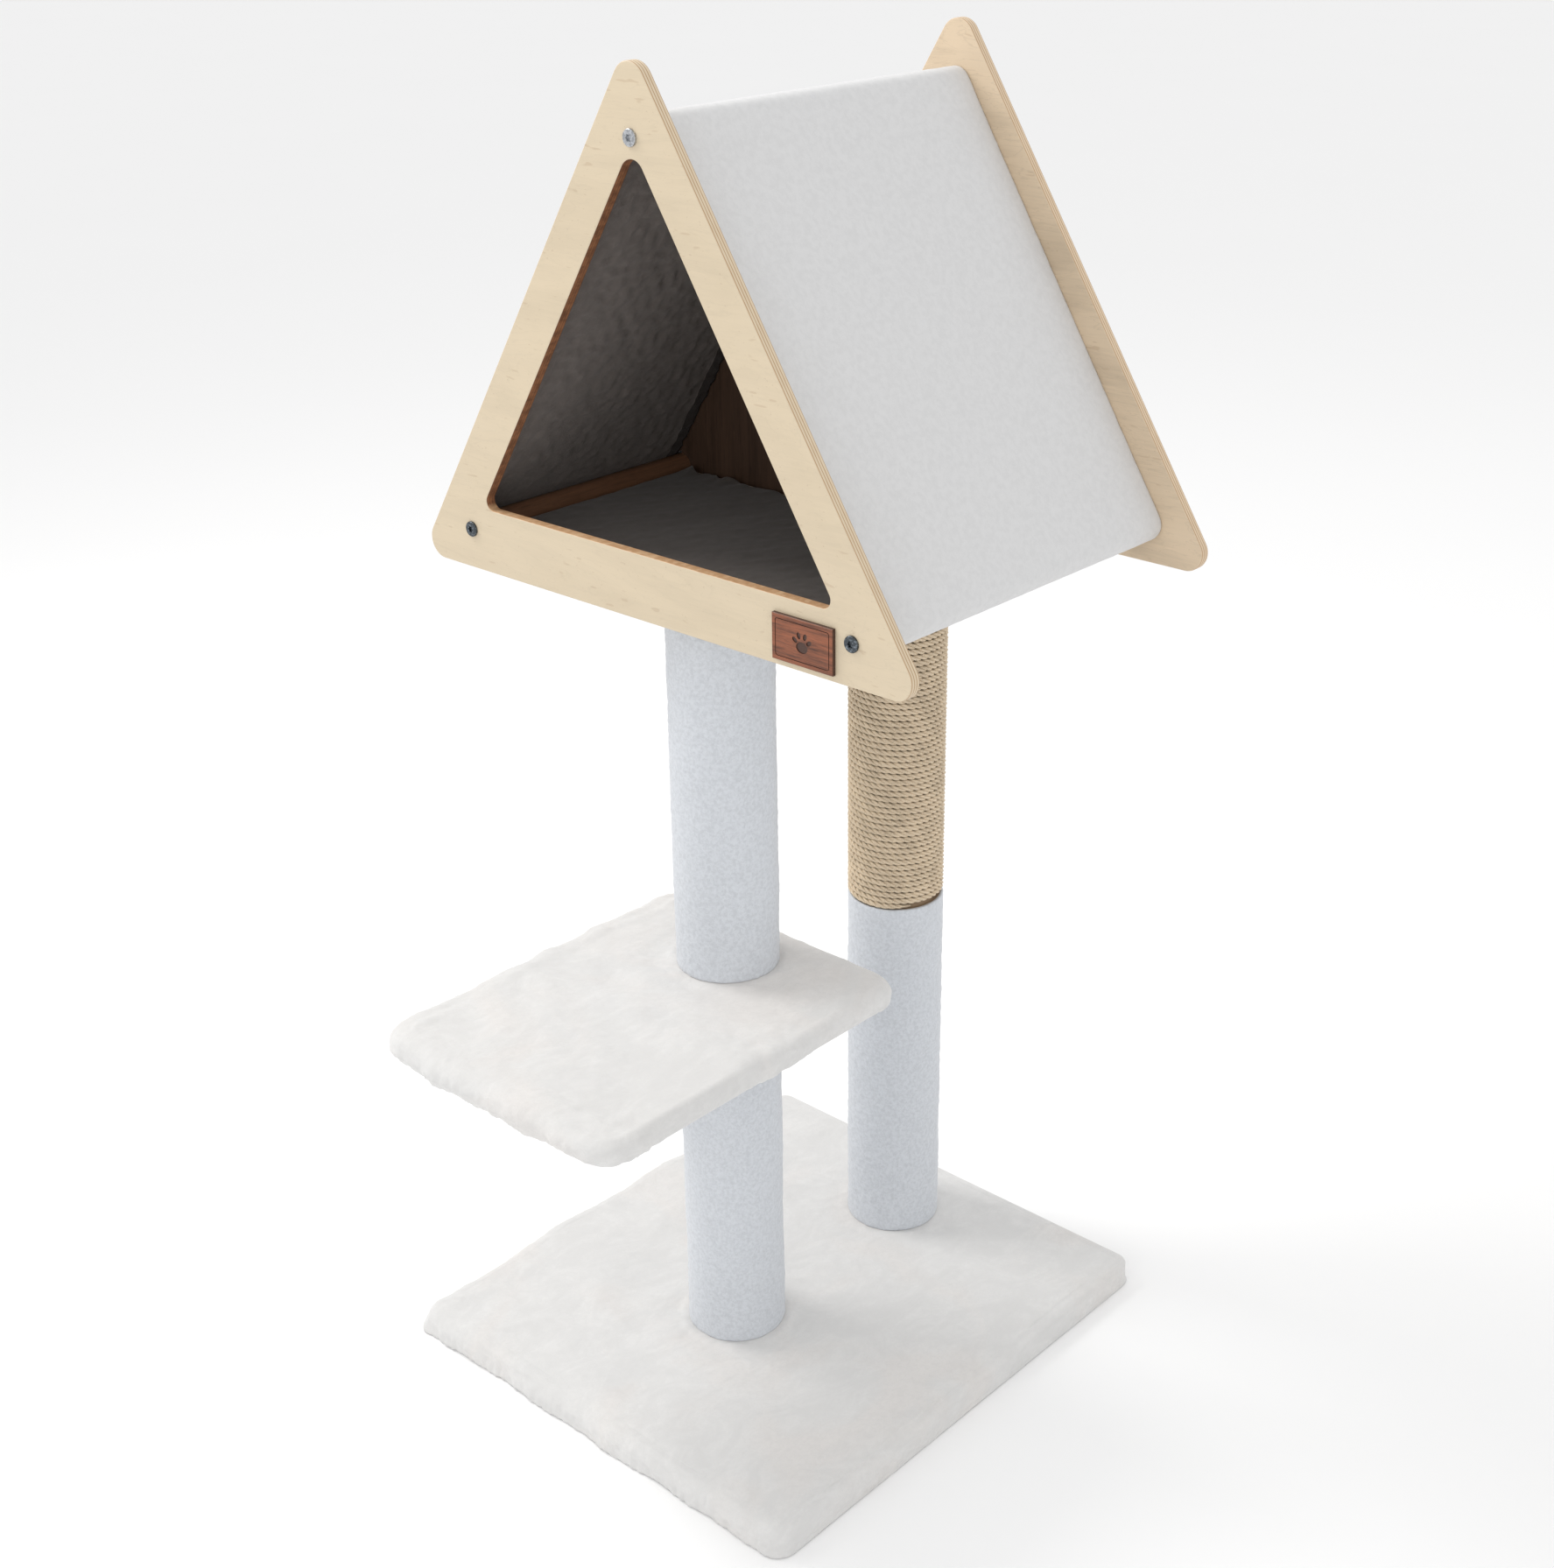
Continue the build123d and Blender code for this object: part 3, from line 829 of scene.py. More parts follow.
@dataclass(frozen=True)
class Puff:
    """Cloth inflation that fills out a cover, with a limit on how far any point may move."""

    pressure: float = 4.0
    frames: int = 20
    reach: float = 4.0 * MM
    sink: float = 0.6 * MM
    stiffness: float = 12.0

    def run(self, piece: bpy.types.Object, held: np.ndarray) -> None:
        """Simulate, cap and apply.

        Args:
            piece: The cover.
            held: Per vertex, 1 where the cloth is fastened and 0 where it is free.
        """
        start = points_of(piece.data)
        pins = piece.vertex_groups.new(name="fastened")
        for index in np.nonzero(held > 0.01)[0]:
            pins.add([int(index)], float(held[index]), "REPLACE")
        cloth = piece.modifiers.new("cloth", "CLOTH")
        cloth.settings.quality = 5
        cloth.settings.mass = 0.3
        cloth.settings.tension_stiffness = self.stiffness
        cloth.settings.compression_stiffness = self.stiffness
        cloth.settings.shear_stiffness = self.stiffness * 0.5
        cloth.settings.bending_stiffness = 0.6
        cloth.settings.vertex_group_mass = "fastened"
        cloth.settings.use_pressure = True
        cloth.settings.uniform_pressure_force = self.pressure
        cloth.settings.effector_weights.gravity = 0.0
        cloth.collision_settings.use_collision = False
        cloth.point_cache.frame_start, cloth.point_cache.frame_end = 1, self.frames
        scene = bpy.context.scene
        for step in range(1, self.frames + 1):
            scene.frame_set(step)
        shown = piece.evaluated_get(bpy.context.evaluated_depsgraph_get())
        moved = points_of(shown.data) - start
        piece.modifiers.clear()
        scene.frame_set(1)
        outward = normals_of(piece.data)
        along = (moved * outward).sum(axis=1, keepdims=True)
        moved += outward * (np.maximum(along, -self.sink) - along)
        size = np.linalg.norm(moved, axis=1, keepdims=True)
        moved *= np.minimum(1.0, self.reach * np.tanh(size / self.reach) / np.maximum(size, 1e-9))
        piece.vertex_groups.clear()
        move_points(piece.data, start + moved)


# --------------------------------------------------------------------------------------------------
# The palette
# --------------------------------------------------------------------------------------------------
@dataclass
class Palette:
    """Every finish on the tree, built once, with the places that some of them need."""

    doorway: tuple[float, float, float]
    front_y: float
    rear_y: float
    badge_y: float
    lining_end: float
    rope_post: Point
    made: dict[str, bpy.types.Material] = field(default_factory=dict)

    def build(self) -> None:
        """Build all the materials."""
        birch: Colour = (0.645, 0.539, 0.386)
        along_x, along_y, along_z = (0.07, 1.0, 1.0), (1.0, 0.05, 1.0), (1.0, 1.0, 0.06)
        finishes = (
            Plywood("birch_front", birch, front=self.front_y, doorway=self.doorway),
            Plywood("birch_rear", (0.665, 0.528, 0.372), front=self.rear_y, figure=1.15),
            Plywood("birch_floor", birch),
            StraightGrain("beech", (0.225, 0.110, 0.058), 0.5, along_y, grain=420.0, contrast=0.35),
            StraightGrain("beech_upright", (0.58, 0.40, 0.24), 0.55, along_z, grain=420.0, contrast=0.25),
            StraightGrain("smoked_veneer", (0.085, 0.048, 0.030), 0.5, (1.0, 1.0, 0.05), grain=240.0,
                          contrast=0.6, coat=0.05),
            StraightGrain("badge_wood", (0.228, 0.070, 0.029), 0.45, along_x, grain=520.0, contrast=0.85,
                          engraved=(self.badge_y, (0.060, 0.024, 0.014))),
            Pile("plush", (0.710, 0.704, 0.694)),
            Felt("post_felt", (0.650, 0.676, 0.715), lump=300.0, depth=0.5 * MM, contrast=0.14, sheen=0.3),
            Felt("cover_felt", (0.690, 0.690, 0.693), lump=170.0, contrast=0.06),
            Felt("lining_felt", (0.215, 0.186, 0.170), lump=110.0, depth=1.2 * MM, contrast=0.16,
                 fleck=0.2, blotch=0.14, shaded_from=self.lining_end - SHADED_END_WIDTH),
            Felt("mat_felt", (0.125, 0.109, 0.098), lump=200.0, depth=0.12 * MM, contrast=0.12,
                 fleck=0.2, blotch=0.12),
            Sisal("sisal", (0.76, 0.625, 0.455), post=self.rope_post),
            PlatedMetal("zinc", (0.62, 0.64, 0.66)),
            PlatedMetal("screw_zinc", (0.60, 0.62, 0.65), roughness=0.30, shaded_below=1.0),
            PlatedMetal("brass", (0.66, 0.47, 0.19)),
            Chips("chipboard", (0.52, 0.37, 0.22)),
            Chips("cardboard", (0.27, 0.19, 0.12), chip=90.0, stretch=(1.0, 1.0, 3.0)),
            Sheeting("liner_foam", (0.035, 0.035, 0.037)),
        )
        self.made = {finish.name: finish.make() for finish in finishes}

    def __getitem__(self, name: str) -> bpy.types.Material:
        """The finish of that name."""
        return self.made[name]


@dataclass
class HardParts:
    """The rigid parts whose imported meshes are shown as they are."""

    palette: Palette
    finish_of: dict[str, str] = field(default_factory=lambda: {
        "front_panel": "birch_front", "rear_panel": "birch_rear", "floor_board": "birch_floor",
        "ridge_dowel": "beech", "left_dowel": "beech", "right_dowel": "beech",
        "partition": "smoked_veneer", "name_badge": "badge_wood",
        "floor_pins": "beech_upright", "partition_pins": "beech_upright",
        "wide_post_plugs": "beech_upright", "narrow_post_plugs": "beech_upright",
        "dowel_inserts": "brass", "plug_inserts": "brass",
        "front_panel_screws": "screw_zinc", "rear_panel_screws": "screw_zinc",
        "floor_bolts": "zinc", "floor_washers": "zinc", "step_stud": "zinc", "rear_post_stud": "zinc",
        "base_bolts": "zinc", "base_washers": "zinc", "base_staples": "zinc",
        "front_lower_tube": "cardboard", "front_upper_tube": "cardboard",
        "rear_lower_tube": "cardboard", "rear_upper_tube": "cardboard",
        "step_board": "chipboard", "base_board": "chipboard", "base_liner": "liner_foam",
    })

    def dress(self) -> int:
        """Give every rigid part its finish.

        Returns:
            How many parts were dressed.
        """
        for node, finish in self.finish_of.items():
            mesh = bpy.data.objects[node].data
            mesh.materials.clear()
            mesh.materials.append(self.palette[finish])
        return len(self.finish_of)


# --------------------------------------------------------------------------------------------------
# Plush covers
# --------------------------------------------------------------------------------------------------
@dataclass(frozen=True)
class Outline:
    """A rounded rectangle walked with a fixed number of steps on each side and corner."""

    half_x: float
    half_y: float
    steps_x: int
    steps_y: int
    corner_steps: int = 3

    def ring(self, inset: float, corner: float) -> np.ndarray:
        """Points round the outline, anticlockwise from the middle of the low-x low-y corner.

        Args:
            inset: How far inside the full outline.
            corner: Corner radius of the full outline.

        Returns:
            One X, Y row per point.
        """
        a, b = self.half_x - inset, self.half_y - inset
        r = max(corner - inset, 1.5 * MM)
        turn = math.pi / 2
        parts = []
        for side, (reach, steps) in enumerate(((a, self.steps_x), (b, self.steps_y)) * 2):
            across = b if side % 2 == 0 else a
            spin = side * turn
            angles = -3 * turn / 2 + turn / 2 * np.arange(self.corner_steps) / self.corner_steps
            first = np.stack([-(reach - r) + r * np.cos(angles), -(across - r) + r * np.sin(angles)], 1)
            run = np.linspace(-(reach - r), reach - r, steps + 1)
            middle = np.stack([run, np.full(steps + 1, -across)], 1)
            angles = -turn + turn / 2 * np.arange(1, self.corner_steps) / self.corner_steps
            last = np.stack([(reach - r) + r * np.cos(angles), -(across - r) + r * np.sin(angles)], 1)
            walk = np.concatenate([first, middle, last])
            c, s = math.cos(spin), math.sin(spin)
            parts.append(walk @ np.array([[c, s], [-s, c]]))
        return np.concatenate(parts)

    @property
    def columns(self) -> int:
        """Grid points along X."""
        return self.steps_x + 2 * self.corner_steps + 1

    @property
    def rows(self) -> int:
        """Grid points along Y."""
        return self.steps_y + 2 * self.corner_steps + 1

    def fill(self, ring: np.ndarray) -> np.ndarray:
        """Points of a grid inside a ring, blended from its four sides.

        Args:
            ring: The boundary, as ring() gives it.

        Returns:
            A rows by columns array of X, Y.
        """
        n, m = self.columns, self.rows
        closed = np.concatenate([ring, ring[:1]])
        low = closed[:n]
        right = closed[n - 1:n + m - 1]
        high = closed[n + m - 2:2 * n + m - 2][::-1]
        left = closed[2 * n + m - 3:][::-1]
        u = np.linspace(0, 1, n)[None, :, None]
        v = np.linspace(0, 1, m)[:, None, None]
        blend = (1 - v) * low[None] + v * high[None] + (1 - u) * left[:, None] + u * right[:, None]
        corners = ((1 - u) * (1 - v) * low[0] + u * (1 - v) * low[-1]
                   + (1 - u) * v * high[0] + u * v * high[-1])
        return blend - corners

    def border(self, start: int = 0) -> list[int]:
        """Numbers of a grid's boundary points, in ring order.

        Args:
            start: Number of the grid's first point.

        Returns:
            The point numbers.
        """
        n, m = self.columns, self.rows
        low = [start + i for i in range(n)]
        right = [start + j * n + n - 1 for j in range(1, m)]
        high = [start + (m - 1) * n + i for i in range(n - 2, -1, -1)]
        left = [start + j * n for j in range(m - 2, 0, -1)]
        return low + right + high + left


def slab_skin(outline: Outline, corner: float, top: tuple[float, float],
              sides: Sequence[tuple[float, float]], bottom: tuple[float, float] | None) -> Body:
    """Skin of a flat body: a grid on top, rings down the side, and a grid below if it is closed.

    Args:
        outline: The plan.
        corner: Corner radius of the full outline.
        top: Inset and height of the top grid's edge.
        sides: Inset and height of each ring, going down.
        bottom: Inset and height of the bottom grid's edge, or None for an open underside.

    Returns:
        Points and quads.
    """
    n, m = outline.columns, outline.rows
    grid = outline.fill(outline.ring(top[0], corner))
    points = [np.dstack([grid, np.full((m, n), top[1])]).reshape(-1, 3)]
    faces = grid_faces(m, n)
    previous, count = outline.border(), n * m
    for inset, z in sides:
        ring = outline.ring(inset, corner)
        points.append(np.column_stack([ring, np.full(len(ring), z)]))
        current = list(range(count, count + len(ring)))
        faces += band_faces(current, previous)
        previous, count = current, count + len(ring)
    if bottom is not None:
        grid = outline.fill(outline.ring(bottom[0], corner))
        points.append(np.dstack([grid, np.full((m, n), bottom[1])]).reshape(-1, 3))
        faces += [face[::-1] for face in grid_faces(m, n, start=count)]
        faces += band_faces(outline.border(count), previous)
    return np.concatenate(points), faces


class Underside(Enum):
    """How a plush cover ends below."""

    HEM = "hem"
    CLOSED = "closed"


@dataclass
class PlushCover:
    """A plush cover pulled over a board, with soft edges, a wavy outline and brushed pile."""

    node: str
    board: str
    finish: bpy.types.Material
    flat: tuple[float, float]
    corner: float
    top_round: float
    low_round: float
    underside: Underside
    seed: int
    hem: float = 42 * MM
    cell: float = 5.6 * MM
    pile: float = 5.0 * MM
    wander: float = 1.5 * MM
    swell: float = 1.7 * MM
    tuft: float = 0.20 * MM
    fold: float = 1.2 * MM
    fold_inset: float = 24 * MM
    posts: tuple[tuple[float, float], ...] = ()
    post_radius: float = 48 * MM
    full: tuple[float, float, float, float] = (0.0, 0.0, 0.0, 0.0)
    droop: float = 0.0
    flare: float = 0.0
    ruffle: float = 0.8 * MM
    seam_width: float = 3.2 * MM
    seam_depth: float = 2.6 * MM
    rim_sink: float = 1.1 * MM
    face_sink: float = 2.2 * MM
    side_sink: float = 2.6 * MM

    def build(self) -> bpy.types.Object:
        """Build the cover.

        Returns:
            The finished piece.
        """
        low, high = (np.array(corner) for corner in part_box(self.node))
        centre, half = (low + high) / 2, (high - low) / 2
        outline = Outline(half[0], half[1], round(2 * half[0] / self.cell), round(2 * half[1] / self.cell))
        bottom = (self.low_round, low[2]) if self.underside is Underside.CLOSED else None
        points, faces = slab_skin(outline, self.corner, (self.top_round, high[2]),
                                  self._profile(low[2], high[2]), bottom)
        points[:, :2] += centre[:2]
        piece = new_piece(self.node + "_pile", points, faces, self.finish)
        Puff(reach=1.2 * MM, pressure=3.0).run(piece, self._held(points, low, high))
        coarse = points_of(piece.data)
        inner = coarse - normals_of(piece.data) * self.pile
        refine(piece)
        self._sculpt(piece, low, high)
        self._close(piece, inner, faces)
        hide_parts(self.node)
        return piece

    def _profile(self, z_low: float, z_high: float) -> list[tuple[float, float]]:
        """The section from the top's edge, down the side and under.

        Args:
            z_low: Lowest height.
            z_high: Highest height.

        Returns:
            Pairs of inset and height, without the top's own edge.
        """
        top, low = self.top_round, self.low_round
        path = []
        for k in range(1, 5):
            angle = math.pi / 2 * k / 4
            path.append((top * (1 - math.sin(angle)), z_high - top * (1 - math.cos(angle))))
        straight = z_high - top - (z_low + low)
        for k in range(1, max(1, round(straight / self.cell)) + 1):
            path.append((0.0, z_high - top - straight * k / max(1, round(straight / self.cell))))
        arcs = 4 if low > 8 * MM else 2
        for k in range(1, arcs + (self.underside is Underside.HEM)):
            angle = math.pi / 2 * k / arcs
            path.append((low * (1 - math.cos(angle)), z_low + low * (1 - math.sin(angle))))
        if self.underside is Underside.HEM:
            steps = 7
            path += [(low + (self.hem - low) * k / steps, z_low) for k in range(1, steps + 1)]
        return path

    def _held(self, points: np.ndarray, low: np.ndarray, high: np.ndarray) -> np.ndarray:
        """Where the plush is fastened: under the board, beneath the posts, and lightly over the top.

        Args:
            points: The cover's points.
            low: Low corner of its box.
            high: High corner of its box.

        Returns:
            A hold from 0 to 1 for each point.
        """
        held = np.where(points[:, 2] < low[2] + 1.5 * MM, 1.0, 0.0)
        flat = points[:, 2] > high[2] - 0.5 * MM
        held = np.where(flat, 0.35, held)
        for x, y in self.posts:
            near = np.hypot(points[:, 0] - x, points[:, 1] - y) < self.post_radius + 6 * MM
            held = np.where(near, 1.0, held)
        return held

    def _waves(self, offset: int, length: float, count: int = 26) -> Waves:
        """Noise drawn from the cover's own seed."""
        return Waves(self.seed + offset, length, count)

    def _sculpt(self, piece: bpy.types.Object, low: np.ndarray, high: np.ndarray) -> None:
        """Work the fine surface: wandering outline, brushed swells, tufts, and pile round the posts.

        Args:
            piece: The refined cover.
            low: Low corner of the cover's box.
            high: High corner of the cover's box.
        """
        mesh = piece.data
        points, normal = points_of(mesh), normals_of(mesh)
        hemmed, closed = self.underside is Underside.HEM, self.underside is Underside.CLOSED
        edge = np.clip((high[2] - points[:, 2]) / (high[2] - low[2]), 0, 1)
        side = np.hypot(normal[:, 0], normal[:, 1])
        top, under = np.clip(normal[:, 2], 0, 1), np.clip(-normal[:, 2], 0, 1)
        wander = self._waves(0, 85 * MM).at(points * (1, 1, 0.4)) + 0.5 * self._waves(1, 34 * MM).at(points)
        swell = self._waves(2, 130 * MM).at(points) + 0.6 * self._waves(3, 52 * MM).at(points)
        tuft = self._waves(4, 15 * MM, 40).at(points) + 0.7 * self._waves(5, 7 * MM, 40).at(points)
        raised = self.swell * (swell - 0.9) + self._fold(points, low, high)
        shift = side * (self.wander * wander - 0.5 * MM) + self._fullness(normal) + top * raised
        leaning = np.clip(-normal[:, 0], 0, 1) + 0.6 * np.clip(-normal[:, 1], 0, 1)
        corners = 1 + 1.4 * self._corner_share(points, low, high)
        shift += leaning * self.flare * (edge ** 1.5 - 0.35) * corners
        shift -= top * self.droop * self._rear_share(points, high)
        shift += self.tuft * tuft * (1 - 0.8 * under * hemmed)
        fringe = np.exp(-((edge - 0.75) / 0.3) ** 2) * side
        shift += (0.35 * side + 0.65 * fringe) * self._waves(6, 8 * MM, 40).at(points) * self.ruffle
        if closed:
            shift += under * self.swell * 0.6 * (swell - 0.8)
            seam = np.exp(-((points[:, 0] - (low[0] + high[0]) / 2) / self.seam_width) ** 2)
            shift -= under * seam * self.seam_depth
        level = np.clip((np.maximum(top, under) - 0.9) / 0.1, 0, 1)
        upright = np.clip((side - 0.8) / 0.2, 0, 1)
        shift = np.maximum(shift, -self.rim_sink - self.face_sink * level - self.side_sink * upright)
        shift = self._round_posts(shift, points, normal, top + under * closed)
        moved = points + normal * shift[:, None]
        if hemmed:
            moved[:, 2] = np.maximum(moved[:, 2], low[2])
            pressed = low[2] + np.maximum(moved[:, 2] - low[2], 0) * 0.3
            moved[:, 2] = np.where(edge > 0.98, pressed, moved[:, 2])
        move_points(mesh, moved)

    def _round_posts(self, shift: np.ndarray, points: np.ndarray, normal: np.ndarray,
                     face: np.ndarray) -> np.ndarray:
        """Hold the cover down beneath the posts, and crowd its pile round them.

        Args:
            shift: The outward shift of each point so far.
            points: The cover's points.
            normal: Their normals.
            face: How far each point belongs to a face that a post meets.

        Returns:
            The new shift.
        """
        keep = np.ones(len(points))
        for x, y in self.posts:
            away = np.hypot(points[:, 0] - x, points[:, 1] - y) - self.post_radius
            keep *= np.clip((away + 2 * MM) / (9 * MM), 0, 1)
            crowd = np.exp(-((away - 5.5 * MM) / (4.5 * MM)) ** 2) * (away > 0)
            ragged = 1.0 + 0.5 * self._waves(7, 16 * MM).at(points)
            shift += face * crowd * ragged * 1.3 * MM
        return np.where(np.abs(normal[:, 2]) > 0.7, shift * keep, shift)

    def _fullness(self, normal: np.ndarray) -> np.ndarray:
        """How much fuller the cover lies on each of its four sides.

        Args:
            normal: The cover's normals.

        Returns:
            The outward shift of each point.
        """
        less_x, more_x, less_y, more_y = self.full
        return (np.clip(-normal[:, 0], 0, 1) * less_x + np.clip(normal[:, 0], 0, 1) * more_x
                + np.clip(-normal[:, 1], 0, 1) * less_y + np.clip(normal[:, 1], 0, 1) * more_y)

    @staticmethod
    def _corner_share(points: np.ndarray, low: np.ndarray, high: np.ndarray) -> np.ndarray:
        """How near each point is to an upright corner: 1 on it, 0 from 60 mm away.

        Args:
            points: The cover's points.
            low: Low corner of its box.
            high: High corner of its box.

        Returns:
            The share for each point.
        """
        x = np.minimum(points[:, 0] - low[0], high[0] - points[:, 0])
        y = np.minimum(points[:, 1] - low[1], high[1] - points[:, 1])
        return np.clip(1 - np.maximum(x, y) / (60 * MM), 0, 1)

    @staticmethod
    def _rear_share(points: np.ndarray, high: np.ndarray) -> np.ndarray:
        """How near each point is to the rear edge: 1 on it, 0 from 90 mm away."""
        return np.clip(1 - (high[1] - points[:, 1]) / (90 * MM), 0, 1)

    def _fold(self, points: np.ndarray, low: np.ndarray, high: np.ndarray) -> np.ndarray:
        """Low ridge where the plush was drawn over the board's edge, with small cross wrinkles on it.

        Args:
            points: The cover's points.
            low: Low corner of its box.
            high: High corner of its box.

        Returns:
            Height of the ridge at each point.
        """
        inset = np.minimum(np.minimum(points[:, 0] - low[0], high[0] - points[:, 0]),
                           np.minimum(points[:, 1] - low[1], high[1] - points[:, 1]))
        line = self.fold_inset + 5 * MM * self._waves(8, 150 * MM).at(points)
        ridge = np.exp(-((inset - line) / (7 * MM)) ** 2)
        strength = np.clip(0.5 + 0.8 * self._waves(9, 170 * MM).at(points), 0, 1.3)
        wrinkles = self._waves(10, 13 * MM, 40).at(points) * np.clip(strength - 0.6, 0, 1)
        return ridge * (strength * self.fold + wrinkles * 0.5 * MM)

    def _close(self, piece: bpy.types.Object, inner: np.ndarray, faces: Faces) -> None:
        """Add the backing side of the plush, and join it to the pile side round the hem.

        Args:
            piece: The refined pile side, whose first points are the coarse skin's.
            inner: Backing points, one per coarse point.
            faces: The coarse faces.
        """
        mesh = piece.data
        fine = points_of(mesh)
        shown = [tuple(p.vertices) for p in mesh.polygons]
        offset = len(fine)
        if self.underside is Underside.HEM:
            board_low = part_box(self.board)[0][2]
            inner[:, 2] = np.where(inner[:, 2] < board_low + 3 * MM, board_low - 0.2 * MM, inner[:, 2])
        shown += [tuple(offset + k for k in face[::-1]) for face in faces]
        used: dict[tuple[int, int], int] = {}
        for face in faces:
            for k, first in enumerate(face):
                pair = (first, face[(k + 1) % len(face)])
                used[pair] = used.get(pair, 0) + 1
        open_edges = [pair for pair in used if (pair[1], pair[0]) not in used]
        beside: dict[int, set[int]] = {}
        for edge in mesh.edges:
            a, b = edge.vertices
            beside.setdefault(a, set()).add(b)
            beside.setdefault(b, set()).add(a)
        for a, b in open_edges:
            mid = next(iter(beside[a] & beside[b]))
            shown.append((b, mid, a, offset + a, offset + b))
        piece.data = smooth_mesh(piece.name, np.concatenate([fine, inner]), shown, self.finish)
        bpy.data.meshes.remove(mesh)


@dataclass
class HandStitches:
    """Thread stitches that close the step cover's underside along its middle."""

    node: str
    finish: bpy.types.Material
    pitch: float = 11 * MM
    radius: float = 0.55 * MM
    span: float = 5.2 * MM
    margin: float = 26 * MM
    gap: tuple[float, float] = (0.0, 0.0)

    def build(self) -> bpy.types.Object:
        """Build the row of slanting stitches.

        Returns:
            The piece.
        """
        low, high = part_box(self.node)
        x = (low[0] + high[0]) / 2
        points, faces = [], []
        for y in np.arange(low[1] + self.margin, high[1] - self.margin, self.pitch):
            if self.gap[0] < y < self.gap[1]:
                continue
            steps = np.linspace(-1, 1, 9)
            path = np.stack([x + self.span * steps, y + 2.0 * MM * steps,
                             low[2] + 1.8 * MM - 2.0 * MM * (1 - steps ** 2) + 1.0 * MM * steps ** 4], 1)
            tube, quads = sweep(path, np.full(len(path), self.radius), 8, sum(len(p) for p in points))
            points.append(tube)
            faces += quads
        return new_piece("step_seam_thread", np.concatenate(points), faces, self.finish)


def sweep(path: np.ndarray, radii: np.ndarray, sides: int, start: int = 0) -> Body:
    """A tube along a path, closed at both ends.

    Args:
        path: Points along its middle.
        radii: Radius at each point.
        sides: Points round it.
        start: Number of its first point.

    Returns:
        Points and faces.
    """
    along = np.gradient(path, axis=0)
    along /= np.linalg.norm(along, axis=1, keepdims=True)
    up = np.array([0.0, 0.0, 1.0]) if np.abs(along[:, 2]).max() < 0.9 else np.array([0.31, 0.95, 0.0])
    side = np.cross(along, up)
    side /= np.linalg.norm(side, axis=1, keepdims=True)
    lift = np.cross(side, along)
    angles = np.arange(sides) * 2 * math.pi / sides
    ring = np.cos(angles)[None, :, None] * side[:, None] + np.sin(angles)[None, :, None] * lift[:, None]
    points = (path[:, None] + ring * radii[:, None, None]).reshape(-1, 3)
    faces = grid_faces(len(path), sides, Grid.TUBE, start)
    last = start + (len(path) - 1) * sides
    faces.append(tuple(start + k for k in range(sides))[::-1])
    faces.append(tuple(last + k for k in range(sides)))
    return points, faces


# --------------------------------------------------------------------------------------------------
# Posts
# --------------------------------------------------------------------------------------------------
@dataclass
class FeltSleeve:
    """A felt sleeve glued round a post tube, with a butt seam at the back and softly cut ends."""

    node: str
    tube: str
    finish: bpy.types.Material
    seed: int
    thickness: float = 3 * MM
    columns: int = 132
    cell: float = 3.0 * MM
    fuzz: float = 0.28 * MM
    drift: float = 0.35 * MM
    seam_angle: float = math.pi / 2
    end_round: float = 1.2 * MM

    def build(self) -> bpy.types.Object:
        """Build the sleeve.

        Returns:
            The finished piece.
        """
        low, high = (np.array(corner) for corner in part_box(self.node))
        centre = (low + high) / 2
        radius = (high[0] - low[0]) / 2
        inner = radius - self.thickness
        profile = self._profile(radius, inner, low[2], high[2])
        angles = np.arange(self.columns) * 2 * math.pi / self.columns
        r, z = profile[:, 0][:, None], profile[:, 1][:, None]
        ring = np.stack([centre[0] + r * np.cos(angles), centre[1] + r * np.sin(angles),
                         z + 0 * angles], 2).reshape(-1, 3)
        outside = (np.repeat(profile[:, 0], self.columns) - inner) / self.thickness
        turn = np.tile(angles, len(profile))
        away = (turn - self.seam_angle + math.pi) % (2 * math.pi) - math.pi
        seam = np.exp(-(away * radius / (1.1 * MM)) ** 2) * 0.9 * MM
        lumps = Waves(self.seed, 7 * MM, 40).at(ring) * self.fuzz
        lumps = lumps + Waves(self.seed + 1, 60 * MM).at(ring) * self.drift
        outward = np.stack([np.cos(turn), np.sin(turn), 0 * turn], 1)
        cloud = ring + outward * (outside * (lumps - seam))[:, None]
        faces = grid_faces(len(profile), self.columns, Grid.RING)
        piece = new_piece(self.node + "_pile", cloud, faces, self.finish)
        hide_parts(self.node)
        round_it = 2 * math.pi * (radius - self.thickness / 2)
        return piece

    def _profile(self, radius: float, inner: float, low: float, high: float) -> np.ndarray:
        """Closed section of the sleeve's wall.

        Args:
            radius: Outer radius.
            inner: Inner radius.
            low: Lowest height.
            high: Highest height.

        Returns:
            Rows of radius and height, going up outside and down inside.
        """
        e = self.end_round
        rows = max(2, round((high - low - 2 * e) / self.cell))
        outer = [(radius, z) for z in np.linspace(low + e, high - e, rows)]
        return np.array([(inner, low), (radius - e, low), (radius - 0.3 * e, low + 0.3 * e)] + outer
                        + [(radius - 0.3 * e, high - 0.3 * e), (radius - e, high), (inner, high)])


